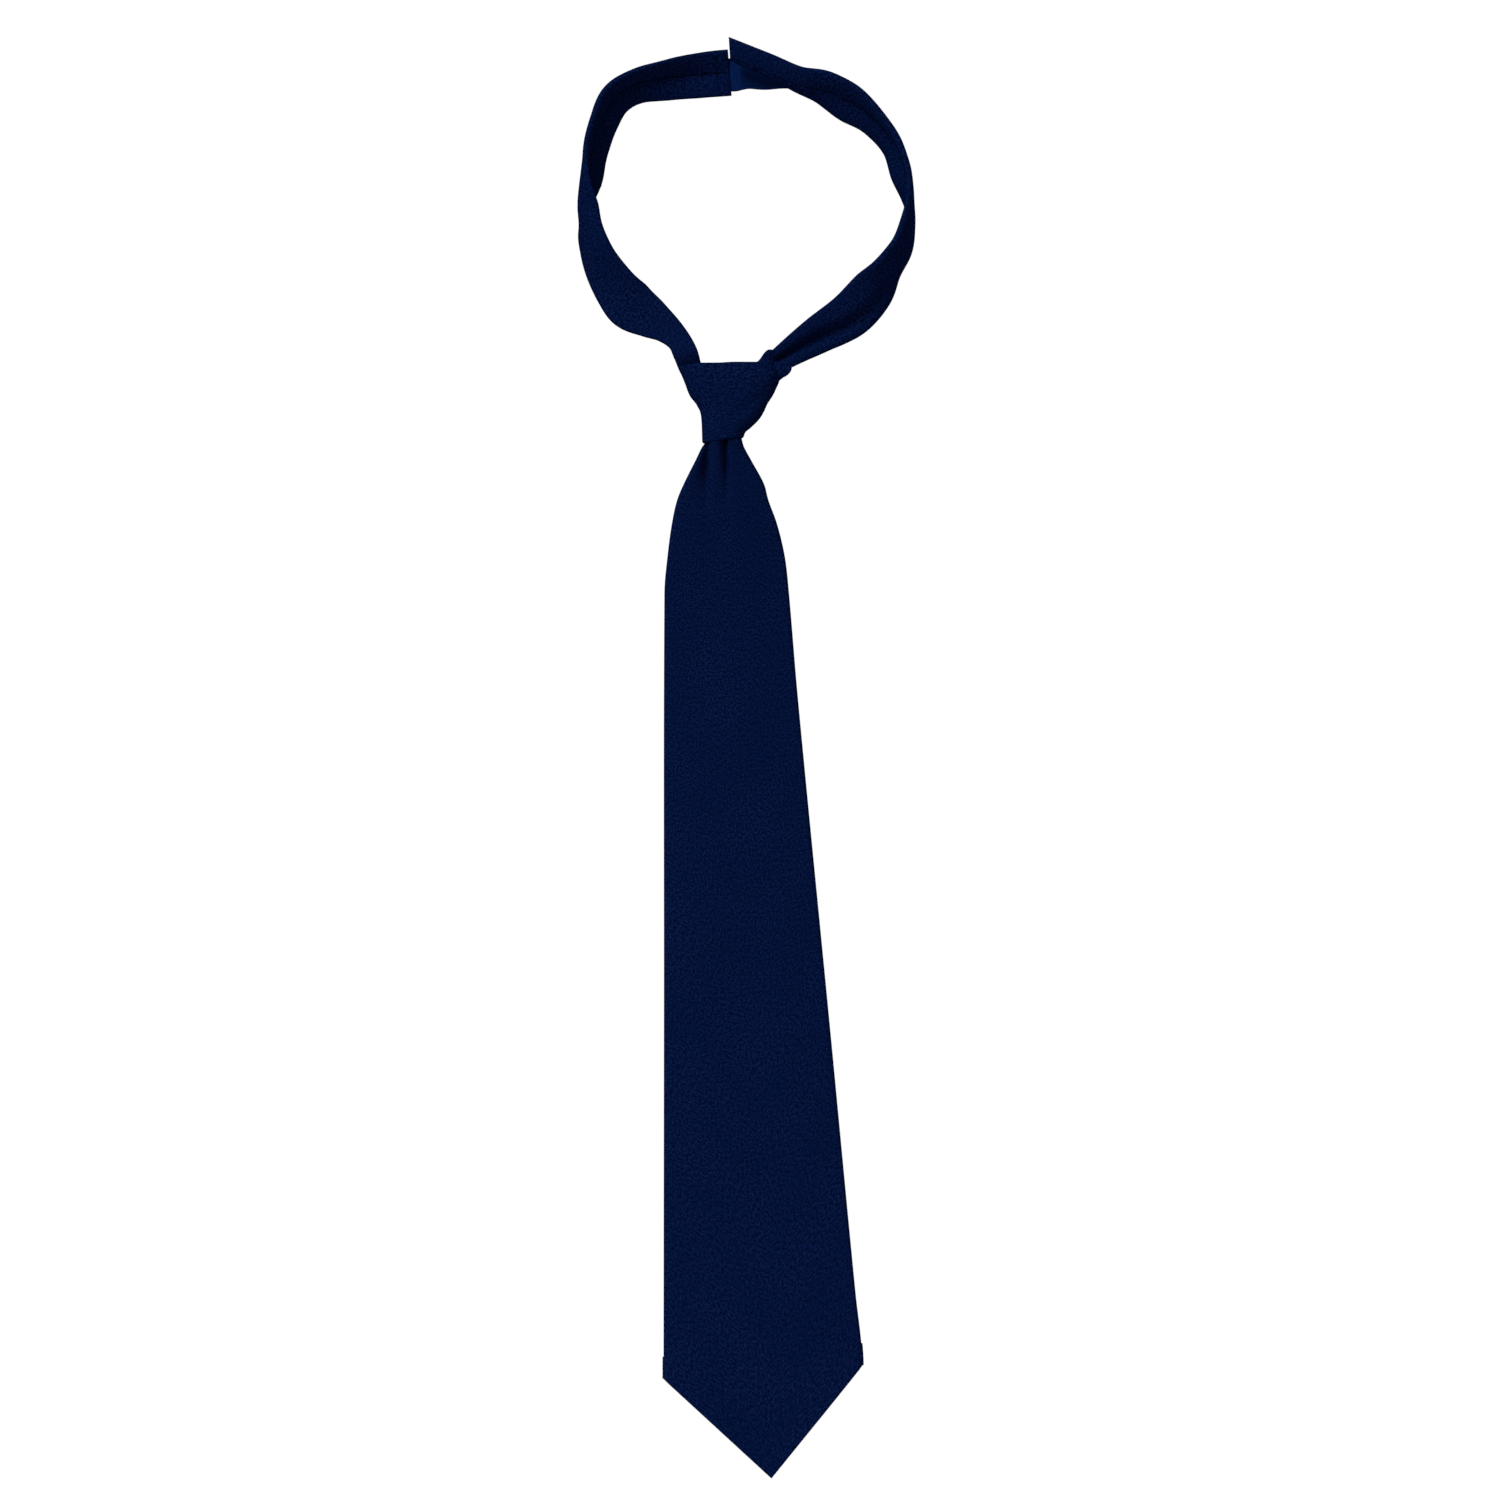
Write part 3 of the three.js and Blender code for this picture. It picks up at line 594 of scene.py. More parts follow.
@dataclass
class Ribbon:
    """A strip of cloth that follows stations, rolling as it goes."""

    stations: Sequence[Station]
    side: Side
    full_width: float = 18.5
    depth: float = 2.4
    seed: float = 1.0
    slit: float = 0.1  # half the gap between the two folded edges behind
    channel: float = 0.3  # reach of a lengthwise hollow, as a share of the half width
    swell: float = 0.3  # height of the cloth's soft unevenness
    swell_grain: float = 11.0
    end_skew: float = 0.0  # how far one edge runs past the other at the free end
    frames: dict[float, tuple[Vector, Vector, Vector, np.ndarray]] = field(default_factory=dict)

    def __post_init__(self) -> None:
        """Lays the stations out as one table with its ends carried on."""
        table = np.array([astuple(station) for station in self.stations], float)
        self.table = np.vstack([2 * table[0] - table[1], table, 2 * table[-1] - table[-2]])

    def row(self, t: float) -> np.ndarray:
        """The station's values at a share of the route.

        Args:
            t: Share of the route.

        Returns:
            The values, in the order of Station's fields.
        """
        spans = len(self.stations) - 1
        i = min(int(t * spans), spans - 1)
        before, start, end, after = self.table[i : i + 4]
        return hermite(t * spans - i, (start, end), ((end - before) / 2, (after - start) / 2))

    def frame(self, t: float) -> tuple[Vector, Vector, Vector, np.ndarray]:
        """The strip's own directions at a share of the route.

        Args:
            t: Share of the route.

        Returns:
            The centre, the way the front faces, the way across, and the station's values.
        """
        if t not in self.frames:
            values, step = self.row(t), 0.004
            ahead = self.row(min(t + step, 1)) - self.row(max(t - step, 0))
            tangent = Vector(ahead[:3].tolist()).normalized()
            outward = tangent.cross(BACKWARD).normalized() * self.side.value
            forward = tangent.cross(outward).normalized()
            if forward.y > 0:
                forward.negate()
            angle = math.radians(values[3])
            facing = forward * math.cos(angle) + outward * math.sin(angle)
            self.frames[t] = (Vector(values[:3].tolist()), facing, tangent.cross(facing), values)
        return self.frames[t]

    def point(self, u: float, v: float, t: float) -> Vector:
        """A point of the strip.

        Args:
            u: Distance across from the middle, on a strip of full width, in millimetres.
            v: Depth behind the front face.
            t: Share of the route.

        Returns:
            The point in millimetres.
        """
        centre, facing, across, values = self.frame(t)
        width, hollow, hollow_at, cup, turn = values[4:]
        share = 2 * u / self.full_width
        offset = u * width / self.full_width
        lift = self.depth / 2 - v - hollow * bell(share, hollow_at, self.channel) - cup * share * share
        if offset > 0 and turn:
            bend = math.radians(turn) * ease(0, 0.3, share)
            lift += offset * math.sin(bend)
            offset *= math.cos(bend)
        place = centre + across * offset + facing * lift
        place += facing.cross(across) * self.end_skew * share * ease(0.93, 1.0, t)
        swelling = ripple(centre * MM + across * offset * MM, self.swell_grain, self.seed)
        return place + facing * self.swell * swelling

    def folded(self, across: float, along: float, pinch: float = 1.5) -> Vector:
        """A point of the folded cloth that makes the strip.

        Args:
            across: 0 to 1 over the cloth, from one side of the seam round to the other.
            along: Share of the route.
            pinch: Percent of the route over which the free end is pressed flat.

        Returns:
            The point in millimetres.
        """
        reach, v = folded_half(abs(2 * across - 1), self.full_width / 2, self.depth, self.slit)
        flat = lerp(0.5, 1.0, ease(0, pinch, 100 * (1 - along)))
        v = self.depth / 2 + (v - self.depth / 2) * flat
        return self.point(math.copysign(reach, across - 0.5), v, along)


# ------------------------------------------------------------------ neckband


@dataclass
class Neckband:
    """One half of the neckband: a folded strip from inside the knot to the nape."""

    side: Side
    stations: Sequence[Station]
    pivot: tuple[float, float, float]
    wardrobe: Wardrobe
    end_skew: float = 0.0
    cloth_width: float = 42.0
    wall: float = 0.42
    stitch_pitch: float = 6.0
    seam_share: float = 0.76  # of the route, the part that is stitched
    hidden: float = 0.2  # of the route, the part at the knot without seam and lining
    lining_half: float = 7.0
    lining_end: float = 0.94

    def __post_init__(self) -> None:
        """Sets up the strip that every layer of this half follows."""
        self.label = self.side.name.lower()
        self.body = f"{self.label}_neckband"
        self.ribbon = Ribbon(self.stations, self.side, seed=2.0 + self.side.value, end_skew=self.end_skew)
        self.length = running_length([self.ribbon.frame(i / 200)[0] for i in range(201)])[-1]

    def build_shell(self) -> None:
        """Folds the cloth round its interlining."""
        shell = cloth_sheet(
            f"{self.label}_neckband_cloth", columns=64, rows=230, place=self.ribbon.folded,
            outward=self.ribbon.frame(0.5)[1], thickness=self.wall,
        )
        self.wardrobe.dress(shell, NAVY_CREPE, Slot.FABRIC)
        pivot = Vector(self.pivot) * MM
        way = (self.ribbon.frame(0.3)[0] * MM - pivot).normalized()
        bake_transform(shell)
        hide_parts(f"{self.label}_neckband_shell", f"{self.label}_neckband_root")

    def lining_point(self, across: float, along: float) -> Vector:
        """A point of the interlining, pressed forward where the slit runs behind it."""
        u = lerp(-self.lining_half, self.lining_half, across)
        v = 0.24 * self.ribbon.depth - 0.5 * bell(u, 0, 1.8)
        return self.ribbon.point(u, v, lerp(self.hidden, self.lining_end, along))

    def build_interlining(self) -> None:
        """Lays the interlining inside the folded cloth."""
        lining = cloth_sheet(
            f"{self.label}_neckband_lining", columns=48, rows=200, place=self.lining_point,
            outward=self.ribbon.frame(0.57)[1], thickness=0.25,
        )
        self.wardrobe.dress(lining, WOOL_INTERLINING, Slot.INTERLINING)
        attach(lining, self.body)
        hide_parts(f"{self.label}_neckband_interlining")

    def stitch_row(
        self,
        name: str,
        node: str,
        places: Rows,
        v: float,
        way: tuple[float, float],
        size: Size = (1.7, 0.35, 0.3),
    ) -> None:
        """Sews a row of stitches on the band.

        Args:
            name: The piece's name.
            node: The frame's node that it stands for.
            places: For each stitch its distance across and its share of the route.
            v: Depth behind the front face.
            way: How far a stitch runs along the band, and how far across.
            size: Length, width and height of a stitch in millimetres.
        """
        bars = []
        for u, t in places:
            _, facing, across, _ = self.ribbon.frame(t)
            direction = facing.cross(across) * way[0] + across * way[1]
            top = facing if v < self.ribbon.depth / 2 else -facing
            bars.append((self.ribbon.point(u, v, t), direction, top))
        self.wardrobe.sew(name, bars, size, self.body, node)

    def build(self) -> None:
        """Makes the layers that both halves have, and slip-stitches the cloth down the back."""
        self.build_shell()
        self.build_interlining()
        count = int(self.length * self.seam_share / self.stitch_pitch)
        places = [(0.0, lerp(self.hidden, 0.97, (i + 0.5) / count)) for i in range(count)]
        name, behind = f"{self.label}_neckband_seam", self.ribbon.depth * 0.72
        self.stitch_row(name, f"{name}_thread", places, behind, (1, 0.55), (2.2, 0.32, 0.32))


@dataclass
class HookHalf(Neckband):
    """The left half, which carries the hook tape tab."""

    tape_width: float = 12.7
    tape_start: float = -7.0  # X of the end that is sewn into the band
    tab_end: float = 27.4
    tab_y: float = -3.2
    tab_z: float = 124.9
    hinge_x: float = 2.6

    def tab_point(self, across: float, along: float) -> Vector:
        """A point of the tape, from inside the band's end to its rounded free end."""
        x = lerp(self.tape_start, self.tab_end, along)
        half = self.tape_width / 2
        corner = ease(self.tab_end - 2.6, self.tab_end, x)
        shy = 2.2 * corner * corner
        wave = 0.55 * math.sin((x - 3) * 0.42) * ease(1, 9, x)
        low = self.tab_z - half + shy + 0.4 * wave + 0.9 * ease(2, 9, x)
        high = self.tab_z + half - shy - 2.6 * ease(self.tab_end - 8, self.tab_end - 1, x)
        lift = 0.35 * math.sin((x - 6) * 0.3) * ease(2, 8, x)
        return Vector((x, self.tab_y + lift, lerp(low, high, across)))

    def build_tab(self) -> None:
        """Makes the tape and its field of hooks."""
        tape = cloth_sheet(
            "hook_tape", columns=16, rows=60, place=self.tab_point, outward=FORWARD, thickness=0.55
        )
        self.wardrobe.dress(tape, NAVY_TAPE, Slot.TAPE)
        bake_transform(tape)
        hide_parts("hook_tape_backing", "hook_tape_anchor")

        bars = []
        rows, columns = 9, 17
        for i in range(columns):
            for k in range(rows):
                foot = self.tab_point(lerp(0.13, 0.87, k / (rows - 1)), lerp(0.36, 0.955, i / (columns - 1)))
                lean = Vector((0.5 if (i + k) % 2 else -0.5, -1, 0.0))
                bars.append((foot + 0.2 * FORWARD, lean, UPWARD))
        hooks = small_bars("hook_tape_hook_field", bars, (0.75, 0.2, 0.2), rounded=False)
        self.wardrobe.dress(hooks, NAVY_TAPE, Slot.TAPE)
        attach(hooks, "hook_tab")
        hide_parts("hook_tape_hooks")

    def build(self) -> None:
        """Makes this half, its tab, and the stitches across the tape and the bias join."""
        super().build()
        self.build_tab()
        behind = self.ribbon.depth + 0.02
        across = [(lerp(-6.2, 6.2, i / 5), 0.975) for i in range(6)]
        self.stitch_row("hook_tape_stitches", "hook_tape_stitching", across, behind, (0, 1))
        join = [(lerp(-8.4, -1.6, i / 3), 0.62) for i in range(4)]
        self.stitch_row("left_neckband_bias_join", "left_neckband_join_thread", join, behind, (0, 1))


@dataclass
class LoopHalf(Neckband):
    """The right half, which carries the loop tape on the face that meets the tab."""

    tape_half: float = 5.5
    tape_from: float = 0.78
    tape_to: float = 0.985

    def build_layer(
        self, name: str, node: str, cloth: Cloth, reach: float, v: float, wall: float, nap: float
    ) -> None:
        """Lays one layer of the loop tape on the band.

        Args:
            name: The piece's name.
            node: The frame's node that it stands for.
            cloth: Its finish.
            reach: Its half width in millimetres.
            v: Depth behind the front face.
            wall: The layer's thickness.
            nap: How far its surface is ruffled.
        """

        def place(across: float, along: float) -> Vector:
            """A point of the layer."""
            ruffle = nap * ripple(Vector((across * 0.011, along * 0.04, 0)), 0.9, 4.0)
            t = lerp(self.tape_from, self.tape_to, along)
            return self.ribbon.point(lerp(-reach, reach, across), v - wall * 0.5 - ruffle, t)

        piece = cloth_sheet(name, 20, 70, place, self.ribbon.frame(0.88)[1], wall * 0.8)
        self.wardrobe.dress(piece, cloth, Slot.TAPE)
        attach(piece, self.body)
        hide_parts(node)

    def build(self) -> None:
        """Makes this half, its loop tape and the two rows of stitches along the tape."""
        super().build()
        half = self.tape_half
        self.build_layer("loop_tape", "loop_tape_backing", NAVY_TAPE, half, -0.1, 0.4, 0.0)
        self.build_layer("loop_tape_nap", "loop_tape_pile", LOOP_PILE, half - 1.2, -0.55, 0.7, 0.16)
        places = []
        for u in (-half + 0.55, half - 0.55):
            places += [(u, lerp(self.tape_from + 0.005, self.tape_to - 0.005, i / 11)) for i in range(12)]
        self.stitch_row("loop_tape_stitches", "loop_tape_stitching", places, -0.35, (1, 0))


# ------------------------------------------------------------------ blade and tail


@dataclass
class Panel:
    """A hanging end of the tie: a folded sheet that comes to a point, lined at its tip."""

    name: str
    left: Rows  # X of the left edge over Z
    right: Rows
    face: Rows  # Y of the front face over Z
    depth: Rows  # thickness over Z
    top: float
    corners: tuple[float, float]  # Z of the left and right corners
    tip: float
    apex: float  # Z of the top of the window in the back
    tip_at: float  # where the tip lies, as a share of the width
    hem: float
    wardrobe: Wardrobe
    lining_reach: float = 70.0  # from the tip up to the top of the tip lining
    crown: float = 1.1  # how far the front swells between its edges
    wall: float = 0.42
    columns: int = 132
    rows: int = 190
    seed: float = 5.0
    stitch_pitch: float = 7.0
    slit: float = 0.12  # half the gap between the two folded edges behind
    swell: float = 0.22  # height of the cloth's soft unevenness
    swell_grain: float = 17.0
    hidden: float = 22.0  # from the top down to where seam and interlining begin
    allowance: float = 8.0  # what the cut cloth has beyond twice the width
    pleats: Callable[[float, float], float] = lambda x, z: 0.0

    @property
    def thin(self) -> float:
        """The thickness below the throat."""
        return self.depth[-1][1]


    def middle(self, z: float) -> float:
        """X of the seam down the back."""
        return lerp(smooth_line(self.left, z), smooth_line(self.right, z), self.tip_at)

    def half(self, side: int, z: float) -> float:
        """The distance from the seam to one edge."""
        edge = smooth_line(self.left if side < 0 else self.right, z)
        return abs(edge - self.middle(z))

    def foot(self, side: int, r: float, behind: float) -> float:
        """Z of the bottom edge.

        Args:
            side: -1 for the left half and 1 for the right.
            r: 0 at the middle, 1 at the side edge.
            behind: 0 on the front, 1 on the back.

        Returns:
            Z in millimetres.
        """
        corner = self.corners[0 if side < 0 else 1]
        return lerp(lerp(self.tip, corner, r), lerp(self.apex, corner, r), min(max(behind, 0.0), 1.0))

    def shell_point(self, across: float, along: float) -> Vector:
        """A point of the folded cloth, with the hem turned in along the bottom edge."""
        side = -1 if across < 0.5 else 1
        share = abs(2 * across - 1)
        corner_half = self.half(side, self.corners[0])
        reach, v = folded_half(share, corner_half, self.thin, self.slit)
        behind = 1.0 if share > 0.52 else v / self.thin
        foot = self.foot(side, reach / corner_half, behind)
        body_ends, fold_ends, turn = 0.9, 0.935, 0.5
        push = 0.0
        if along <= body_ends:
            z = lerp(self.top, foot, (along / body_ends) ** 1.2)
        elif along <= fold_ends:
            angle = math.pi * (along - body_ends) / (fold_ends - body_ends)
            z = foot - turn * math.sin(angle)
            push = turn * (1 - math.cos(angle))
        else:
            z = foot + self.hem * (along - fold_ends) / (1 - fold_ends)
            push = 2 * turn
        depth = smooth_line(self.depth, z)
        half = self.half(side, z)
        reach, v = folded_half(share, half, depth, self.slit)
        x = self.middle(z) + side * reach
        in_front = v < depth / 2
        y = smooth_line(self.face, z) + v + push * (1 - 2 * min(v / depth, 1.0))
        y -= self.crown * (1 - (reach / half) ** 2) * (1 if in_front else -0.2)
        y += self.pleats(x, z) * lerp(0.75, 1.0, 1 - ease(0, 0.6, v / depth))
        y += self.swell * ripple(Vector((x, 0, z)) * MM, self.swell_grain, self.seed + (0 if in_front else 9))
        return Vector((x, y, z))

    def layer_point(
        self, across: float, along: float, v: float, top: float, inset: float, edge: float
    ) -> Vector:
        """A point of a flat layer inside the folded cloth.

        Args:
            across: 0 at the left edge, 1 at the right.
            along: 0 at the top, 1 at the bottom.
            v: Depth behind the front face.
            top: Z of the layer's top.
            inset: How far its bottom edge stays inside the point.
            edge: How far its sides stay inside the folds.

        Returns:
            The point in millimetres.
        """
        side = -1 if across < self.tip_at else 1
        r = abs(across - self.tip_at) / (self.tip_at if side < 0 else 1 - self.tip_at)
        z = lerp(top, self.foot(side, r, 0) + inset * math.sqrt(2), along)
        half = self.half(side, z)
        x = self.middle(z) + side * r * (half - edge)
        y = smooth_line(self.face, z) + v - self.crown * (1 - r * r) * 0.9
        y += self.pleats(x, z) + self.swell * ripple(Vector((x, 0, z)) * MM, self.swell_grain, self.seed)
        return Vector((x, y, z))

    def width(self, left_z: float, right_z: float) -> float:
        """The cut cloth's width at a height of each edge."""
        return 2 * (self.half(-1, left_z) + self.half(1, right_z)) + self.allowance

    def cloth_flat(self) -> tuple[float, float, float]:
        """The cut cloth's width, length and area.

        Returns:
            Width and length in metres, and area in square metres.
        """
        width, point_height = self.width(*self.corners), 24
        length = self.top - self.tip + self.hem
        widths = [self.width(z, z) for z in np.linspace(self.top, self.corners[0], 41)]
        area = sum(widths) / len(widths) * (self.top - self.corners[0]) + width * point_height
        return width * MM, length * MM, min(area * MM * MM, width * length * MM * MM)

    def build_layers(self, width: float, length: float) -> None:
        """Makes the interlining and the lining of the tip.

        Args:
            width: The cut cloth's width in metres.
            length: Its length in metres.
        """
        inner = self.thin * 0.5
        tip_top = self.tip + self.lining_reach + self.hem
        inside = (0.55, self.top - self.hidden, self.hem + 1.5, inner + 0.5)
        behind = (1.5, tip_top, self.hem * 0.55, inner + 0.3)
        wool, silky = (WOOL_INTERLINING, Slot.INTERLINING), (NAVY_TIPPING, Slot.TIPPING)
        for name, node, finish, columns, rows, spot, outward, wall in (
            ("lining", "interlining", wool, 30, 120, inside, FORWARD, 0.6),
            ("tip_lining", "tipping", silky, 50, 50, behind, BACKWARD, 0.16),
        ):
            place = partial(self.layer_point, v=spot[0], top=spot[1], inset=spot[2], edge=spot[3])
            piece = cloth_sheet(f"{self.name}_{name}", columns, rows, place, outward, wall)
            self.wardrobe.dress(piece, *finish)
            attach(piece, "blade")
            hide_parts(f"{self.name}_{node}")
            surface = one_side_area(piece)
            layer_width = width / 2 - 2 * MM
            flat = (layer_width, min(surface / layer_width * 1.15, length))

    def build(self) -> bpy.types.Object:
        """Makes the cloth, its layers and its stitches.

        Returns:
            The cloth, which is not tied to any body.
        """
        width, length, area = self.cloth_flat()
        shell = cloth_sheet(
            f"{self.name}_cloth", self.columns, self.rows, self.shell_point, FORWARD, self.wall
        )
        self.wardrobe.dress(shell, NAVY_CREPE, Slot.FABRIC)
        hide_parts(f"{self.name}_shell")
        self.build_layers(width, length)

        start, end, sunk, tack_pitch = self.top - self.hidden, self.apex + 6, 0.8, 0.42
        count = int((start - end) / self.stitch_pitch)
        bars = []
        for i in range(count):
            z = lerp(start, end, (i + 0.5) / count)
            y = smooth_line(self.face, z) + smooth_line(self.depth, z) + self.crown * 0.2 - sunk
            bars.append((Vector((self.middle(z), y, z)), Vector((0.5, 0, 1)), BACKWARD))
        self.wardrobe.sew(f"{self.name}_seam", bars, (2.6, 0.42, 0.42), "blade", f"{self.name}_seam_thread")
        z = self.apex + 2.2
        y = smooth_line(self.face, z) + self.thin + self.crown * 0.2 + 0.1
        places = [Vector((self.middle(z), y, z + (i - 2) * tack_pitch)) for i in range(5)]
        bars = [(place, RIGHTWARD, BACKWARD) for place in places]
        self.wardrobe.sew(f"{self.name}_tack", bars, (5.5, 0.4, 0.42), "blade", f"{self.name}_bar_tack")
        return shell


@dataclass
class BladeTrim:
    """What is sewn on the blade's back: the keeper loop that holds the tail, and the label."""

    blade: Panel
    wardrobe: Wardrobe
    keeper_z: float = -192.0
    keeper_height: float = 10.0
    keeper_shift: float = -2.4  # from the blade's middle to the tail's
    half_span: float = 22.0
    bridge: float = 16.5
    rise: float = 3.3
    label_inset: float = 1.5  # from the label's edge to its stitches
    label_pitch: float = 2.1


    def back_y(self, z: float) -> float:
        """Y of the blade's back face at a height."""
        return smooth_line(self.blade.face, z) + self.blade.depth[-1][1] + 0.35

    def keeper_point(self, across: float, along: float) -> Vector:
        """A point of the keeper: a folded strip that lies on the blade and bridges the tail."""
        x = lerp(-self.half_span, self.half_span, along)
        lift = self.rise * (1 - ease(self.bridge - 3.0, self.bridge + 1.5, abs(x)))
        low, high = self.keeper_z - self.keeper_height / 2, self.keeper_z + self.keeper_height / 2
        roll = 0.16
        y = self.back_y(self.keeper_z) + 0.45 + lift
        if across < roll:
            z, y = lerp(low + 3.0, low, across / roll), y - 0.3
        elif across > 1 - roll:
            z, y = lerp(high, high - 3.0, (across - 1 + roll) / roll), y - 0.3
        else:
            share = (across - roll) / (1 - 2 * roll)
            z = lerp(low, high, share)
            y += 0.3 * math.sin(math.pi * share) ** 0.5
        return Vector((self.blade.middle(self.keeper_z) + self.keeper_shift + x, y, z))

    def build_keeper(self) -> None:
        """Makes the keeper and the stitches at its two ends."""
        keeper = cloth_sheet("keeper_strap", 26, 90, self.keeper_point, BACKWARD, 0.35)
        self.wardrobe.dress(keeper, NAVY_CREPE, Slot.FABRIC)
        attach(keeper, "blade")
        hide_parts("keeper_loop")
        middle = self.blade.middle(self.keeper_z) + self.keeper_shift
        y, pitch = self.back_y(self.keeper_z) + 0.85, 2.3
        for label, sign in (("left", -1), ("right", 1)):
            x = middle + sign * (self.half_span - 2)
            places = [Vector((x, y, self.keeper_z + (i - 1.5) * pitch)) for i in range(4)]
            bars = [(place, UPWARD, BACKWARD) for place in places]
            name = f"keeper_stitches_{label}"
            self.wardrobe.sew(name, bars, (1.8, 0.45, 0.35), "blade", f"keeper_stitch_{label}")

    def build_label(self) -> None:
        """Makes the blank label and the stitches along its two ends."""
        low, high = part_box("care_label")
        left, right, bottom, top = (value / MM for value in (low.x, high.x, low.z, high.z))

        def label_point(across: float, along: float) -> Vector:
            """A point of the label, sewn along its ends and a little proud between them."""
            lift = 0.5 * math.sin(math.pi * along) * (0.5 + 0.5 * math.sin(across * 5))
            z = lerp(bottom, top, along)
            return Vector((lerp(left, right, across), self.back_y(z) + 0.35 + lift, z))

        label = cloth_sheet("blank_label", 24, 30, label_point, BACKWARD, 0.22)
        self.wardrobe.dress(label, LABEL_SATIN, Slot.LABEL)
        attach(label, "blade")
        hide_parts("care_label")
        end = self.label_inset / (top - bottom)
        side = self.label_inset / (right - left)
        count = int((right - left - 2 * self.label_inset) / self.label_pitch)
        bars = []
        for i in range(count + 1):
            for along in (end, 1 - end):
                place = label_point(lerp(side, 1 - side, i / count), along) + 0.05 * BACKWARD
                bars.append((place, RIGHTWARD, BACKWARD))
        self.wardrobe.sew("label_stitches", bars, (1.4, 0.4, 0.3), "blade")

    def build(self) -> None:
        """Makes the keeper and the label."""
        self.build_keeper()
        self.build_label()


# ------------------------------------------------------------------ knot


@dataclass
class Knot:
    """The four-in-hand knot: its front wrap, the turn over the right half, core and back."""

    wardrobe: Wardrobe
    left: Rows = (
        (18.5, -20.1), (13.5, -19.8), (10, -18.4), (5.6, -16.6), (0.8, -14.7),
        (-2.5, -12.2), (-6.3, -10.5), (-17.3, -9.9),
    )
    right: Rows = (
        (18.5, 18.3), (13, 18.9), (6.9, 19.8), (3.9, 18.7), (0.8, 17.2), (-2.3, 15.2),
        (-5.4, 13.8), (-8.5, 11.8), (-11.6, 8.6), (-13.1, 6.8), (-15.4, 6.0), (-18, 5.8),
    )
    half_depth: Rows = ((14, 8.4), (4, 8.5), (-8, 7.6), (-17, 6.7))
    middle_y: Rows = ((14, -9.4), (-17, -9.0))
    lobe: Rows = ((5.5, 19.0), (7.7, 21.4), (8.5, 22.8), (10, 24.1), (11.6, 24.5), (13.5, 23.2))
    back_left: Rows = ((10, -14.2), (-3, -10.2), (-13, -8.0))
    back_right: Rows = ((10, 15.2), (5, 15.2), (-4, 11.0), (-12, 5.2))
    squareness: float = 0.62
    crease_line: tuple[float, float, float] = (0.75, 9.0, 2.4)  # its slope, its rise and its reach


    def point(self, angle: float, z: float, inside: float = 0.0) -> Vector:
        """A point on the knot's rounded section.

        Args:
            angle: 0 at the right, a quarter turn at the front.
            z: The height.
            inside: How far inside the outer face.

        Returns:
            The point in millimetres.
        """
        left, right = smooth_line(self.left, z), smooth_line(self.right, z)
        cos, sin = math.cos(angle), math.sin(angle)
        width = (right - left) / 2 - inside
        depth = smooth_line(self.half_depth, z) - inside
        x = (left + right) / 2 + width * math.copysign(abs(cos) ** self.squareness, cos)
        back = depth * math.copysign(abs(sin) ** self.squareness, sin)
        return Vector((x, smooth_line(self.middle_y, z) - back, z))

    def rim(self, angle: float) -> float:
        """Height of the wrap's top edge: level in front, rising over the right half of the band."""
        x = self.point(angle, 14.0).x
        front = 1 - ease(0.0, 0.5, -math.sin(angle))
        level = 13.15 + 0.3 * ease(-4, 2, x) + min(0.0, (x + 10.8) * 0.12)
        rise = 4.9 * ease(11.2, 17.2, x) * (1 - ease(17.9, 18.75, x)) * (1 if math.sin(angle) > 0 else 0)
        drop = 1.8 * ease(17.9, 18.8, x)
        return lerp(10.5, level + rise - drop, front)

    def wrap_point(self, across: float, along: float) -> Vector:
        """A point of the front wrap, with both rims rolled inward."""
        reach = math.radians(62)
        angle = lerp(math.pi + reach, -reach, across)
        low_x = self.point(angle, -16.0).x
        bottom = -17.5 + (min(max(low_x, -9.5), 5.0) + 9.5) * 0.14
        top = self.rim(angle)
        z, inside = rolled_strip(along, bottom, top, roll=0.75, tuck=5, inner=0.12, fold=0.22)
        place = self.point(angle, z, inside)
        soft = 0.45 * ripple(place * MM, 10, 6.0)
        slope, rise, reach = self.crease_line
        crease = 0.55 * bell(place.z - slope * place.x + rise, 0, reach) * ease(-2, 6, place.x)
        place.y += soft + crease if math.sin(angle) > 0 else -0.3 * soft
        return place

    def cuff_point(self, across: float, along: float) -> Vector:
        """A point of the turn that passes under the right half and shows as a small lobe."""
        angle = math.radians(lerp(-12, 192, across))
        z = 12.6 - 6.4 * math.sin(angle) * (1 - 0.12 * abs(math.cos(angle)))
        y = -9.6 - 5.0 * math.cos(angle)
        edge = smooth_line(self.lobe, z)
        start, fold, lip, roll = 12.5, 0.75, 0.88, 0.55
        if along < fold:
            x, inside = lerp(start, edge - roll, along / fold), 0.0
        elif along < lip:
            bend = math.pi * (along - fold) / (lip - fold)
            x, inside = edge - roll + roll * math.sin(bend), roll * (1 - math.cos(bend))
        else:
            x, inside = lerp(edge - roll, edge - 4, (along - lip) / (1 - lip)), 2 * roll
        tuck = 2.4 * (1 - ease(start, 19, x))
        lean = Vector((0, math.cos(angle), math.sin(angle))) * (inside + tuck)
        place = Vector((x, y, z)) + lean
        return place + Vector((0, 0.3, 0.2)) * ripple(place * MM, 5, 12.0)

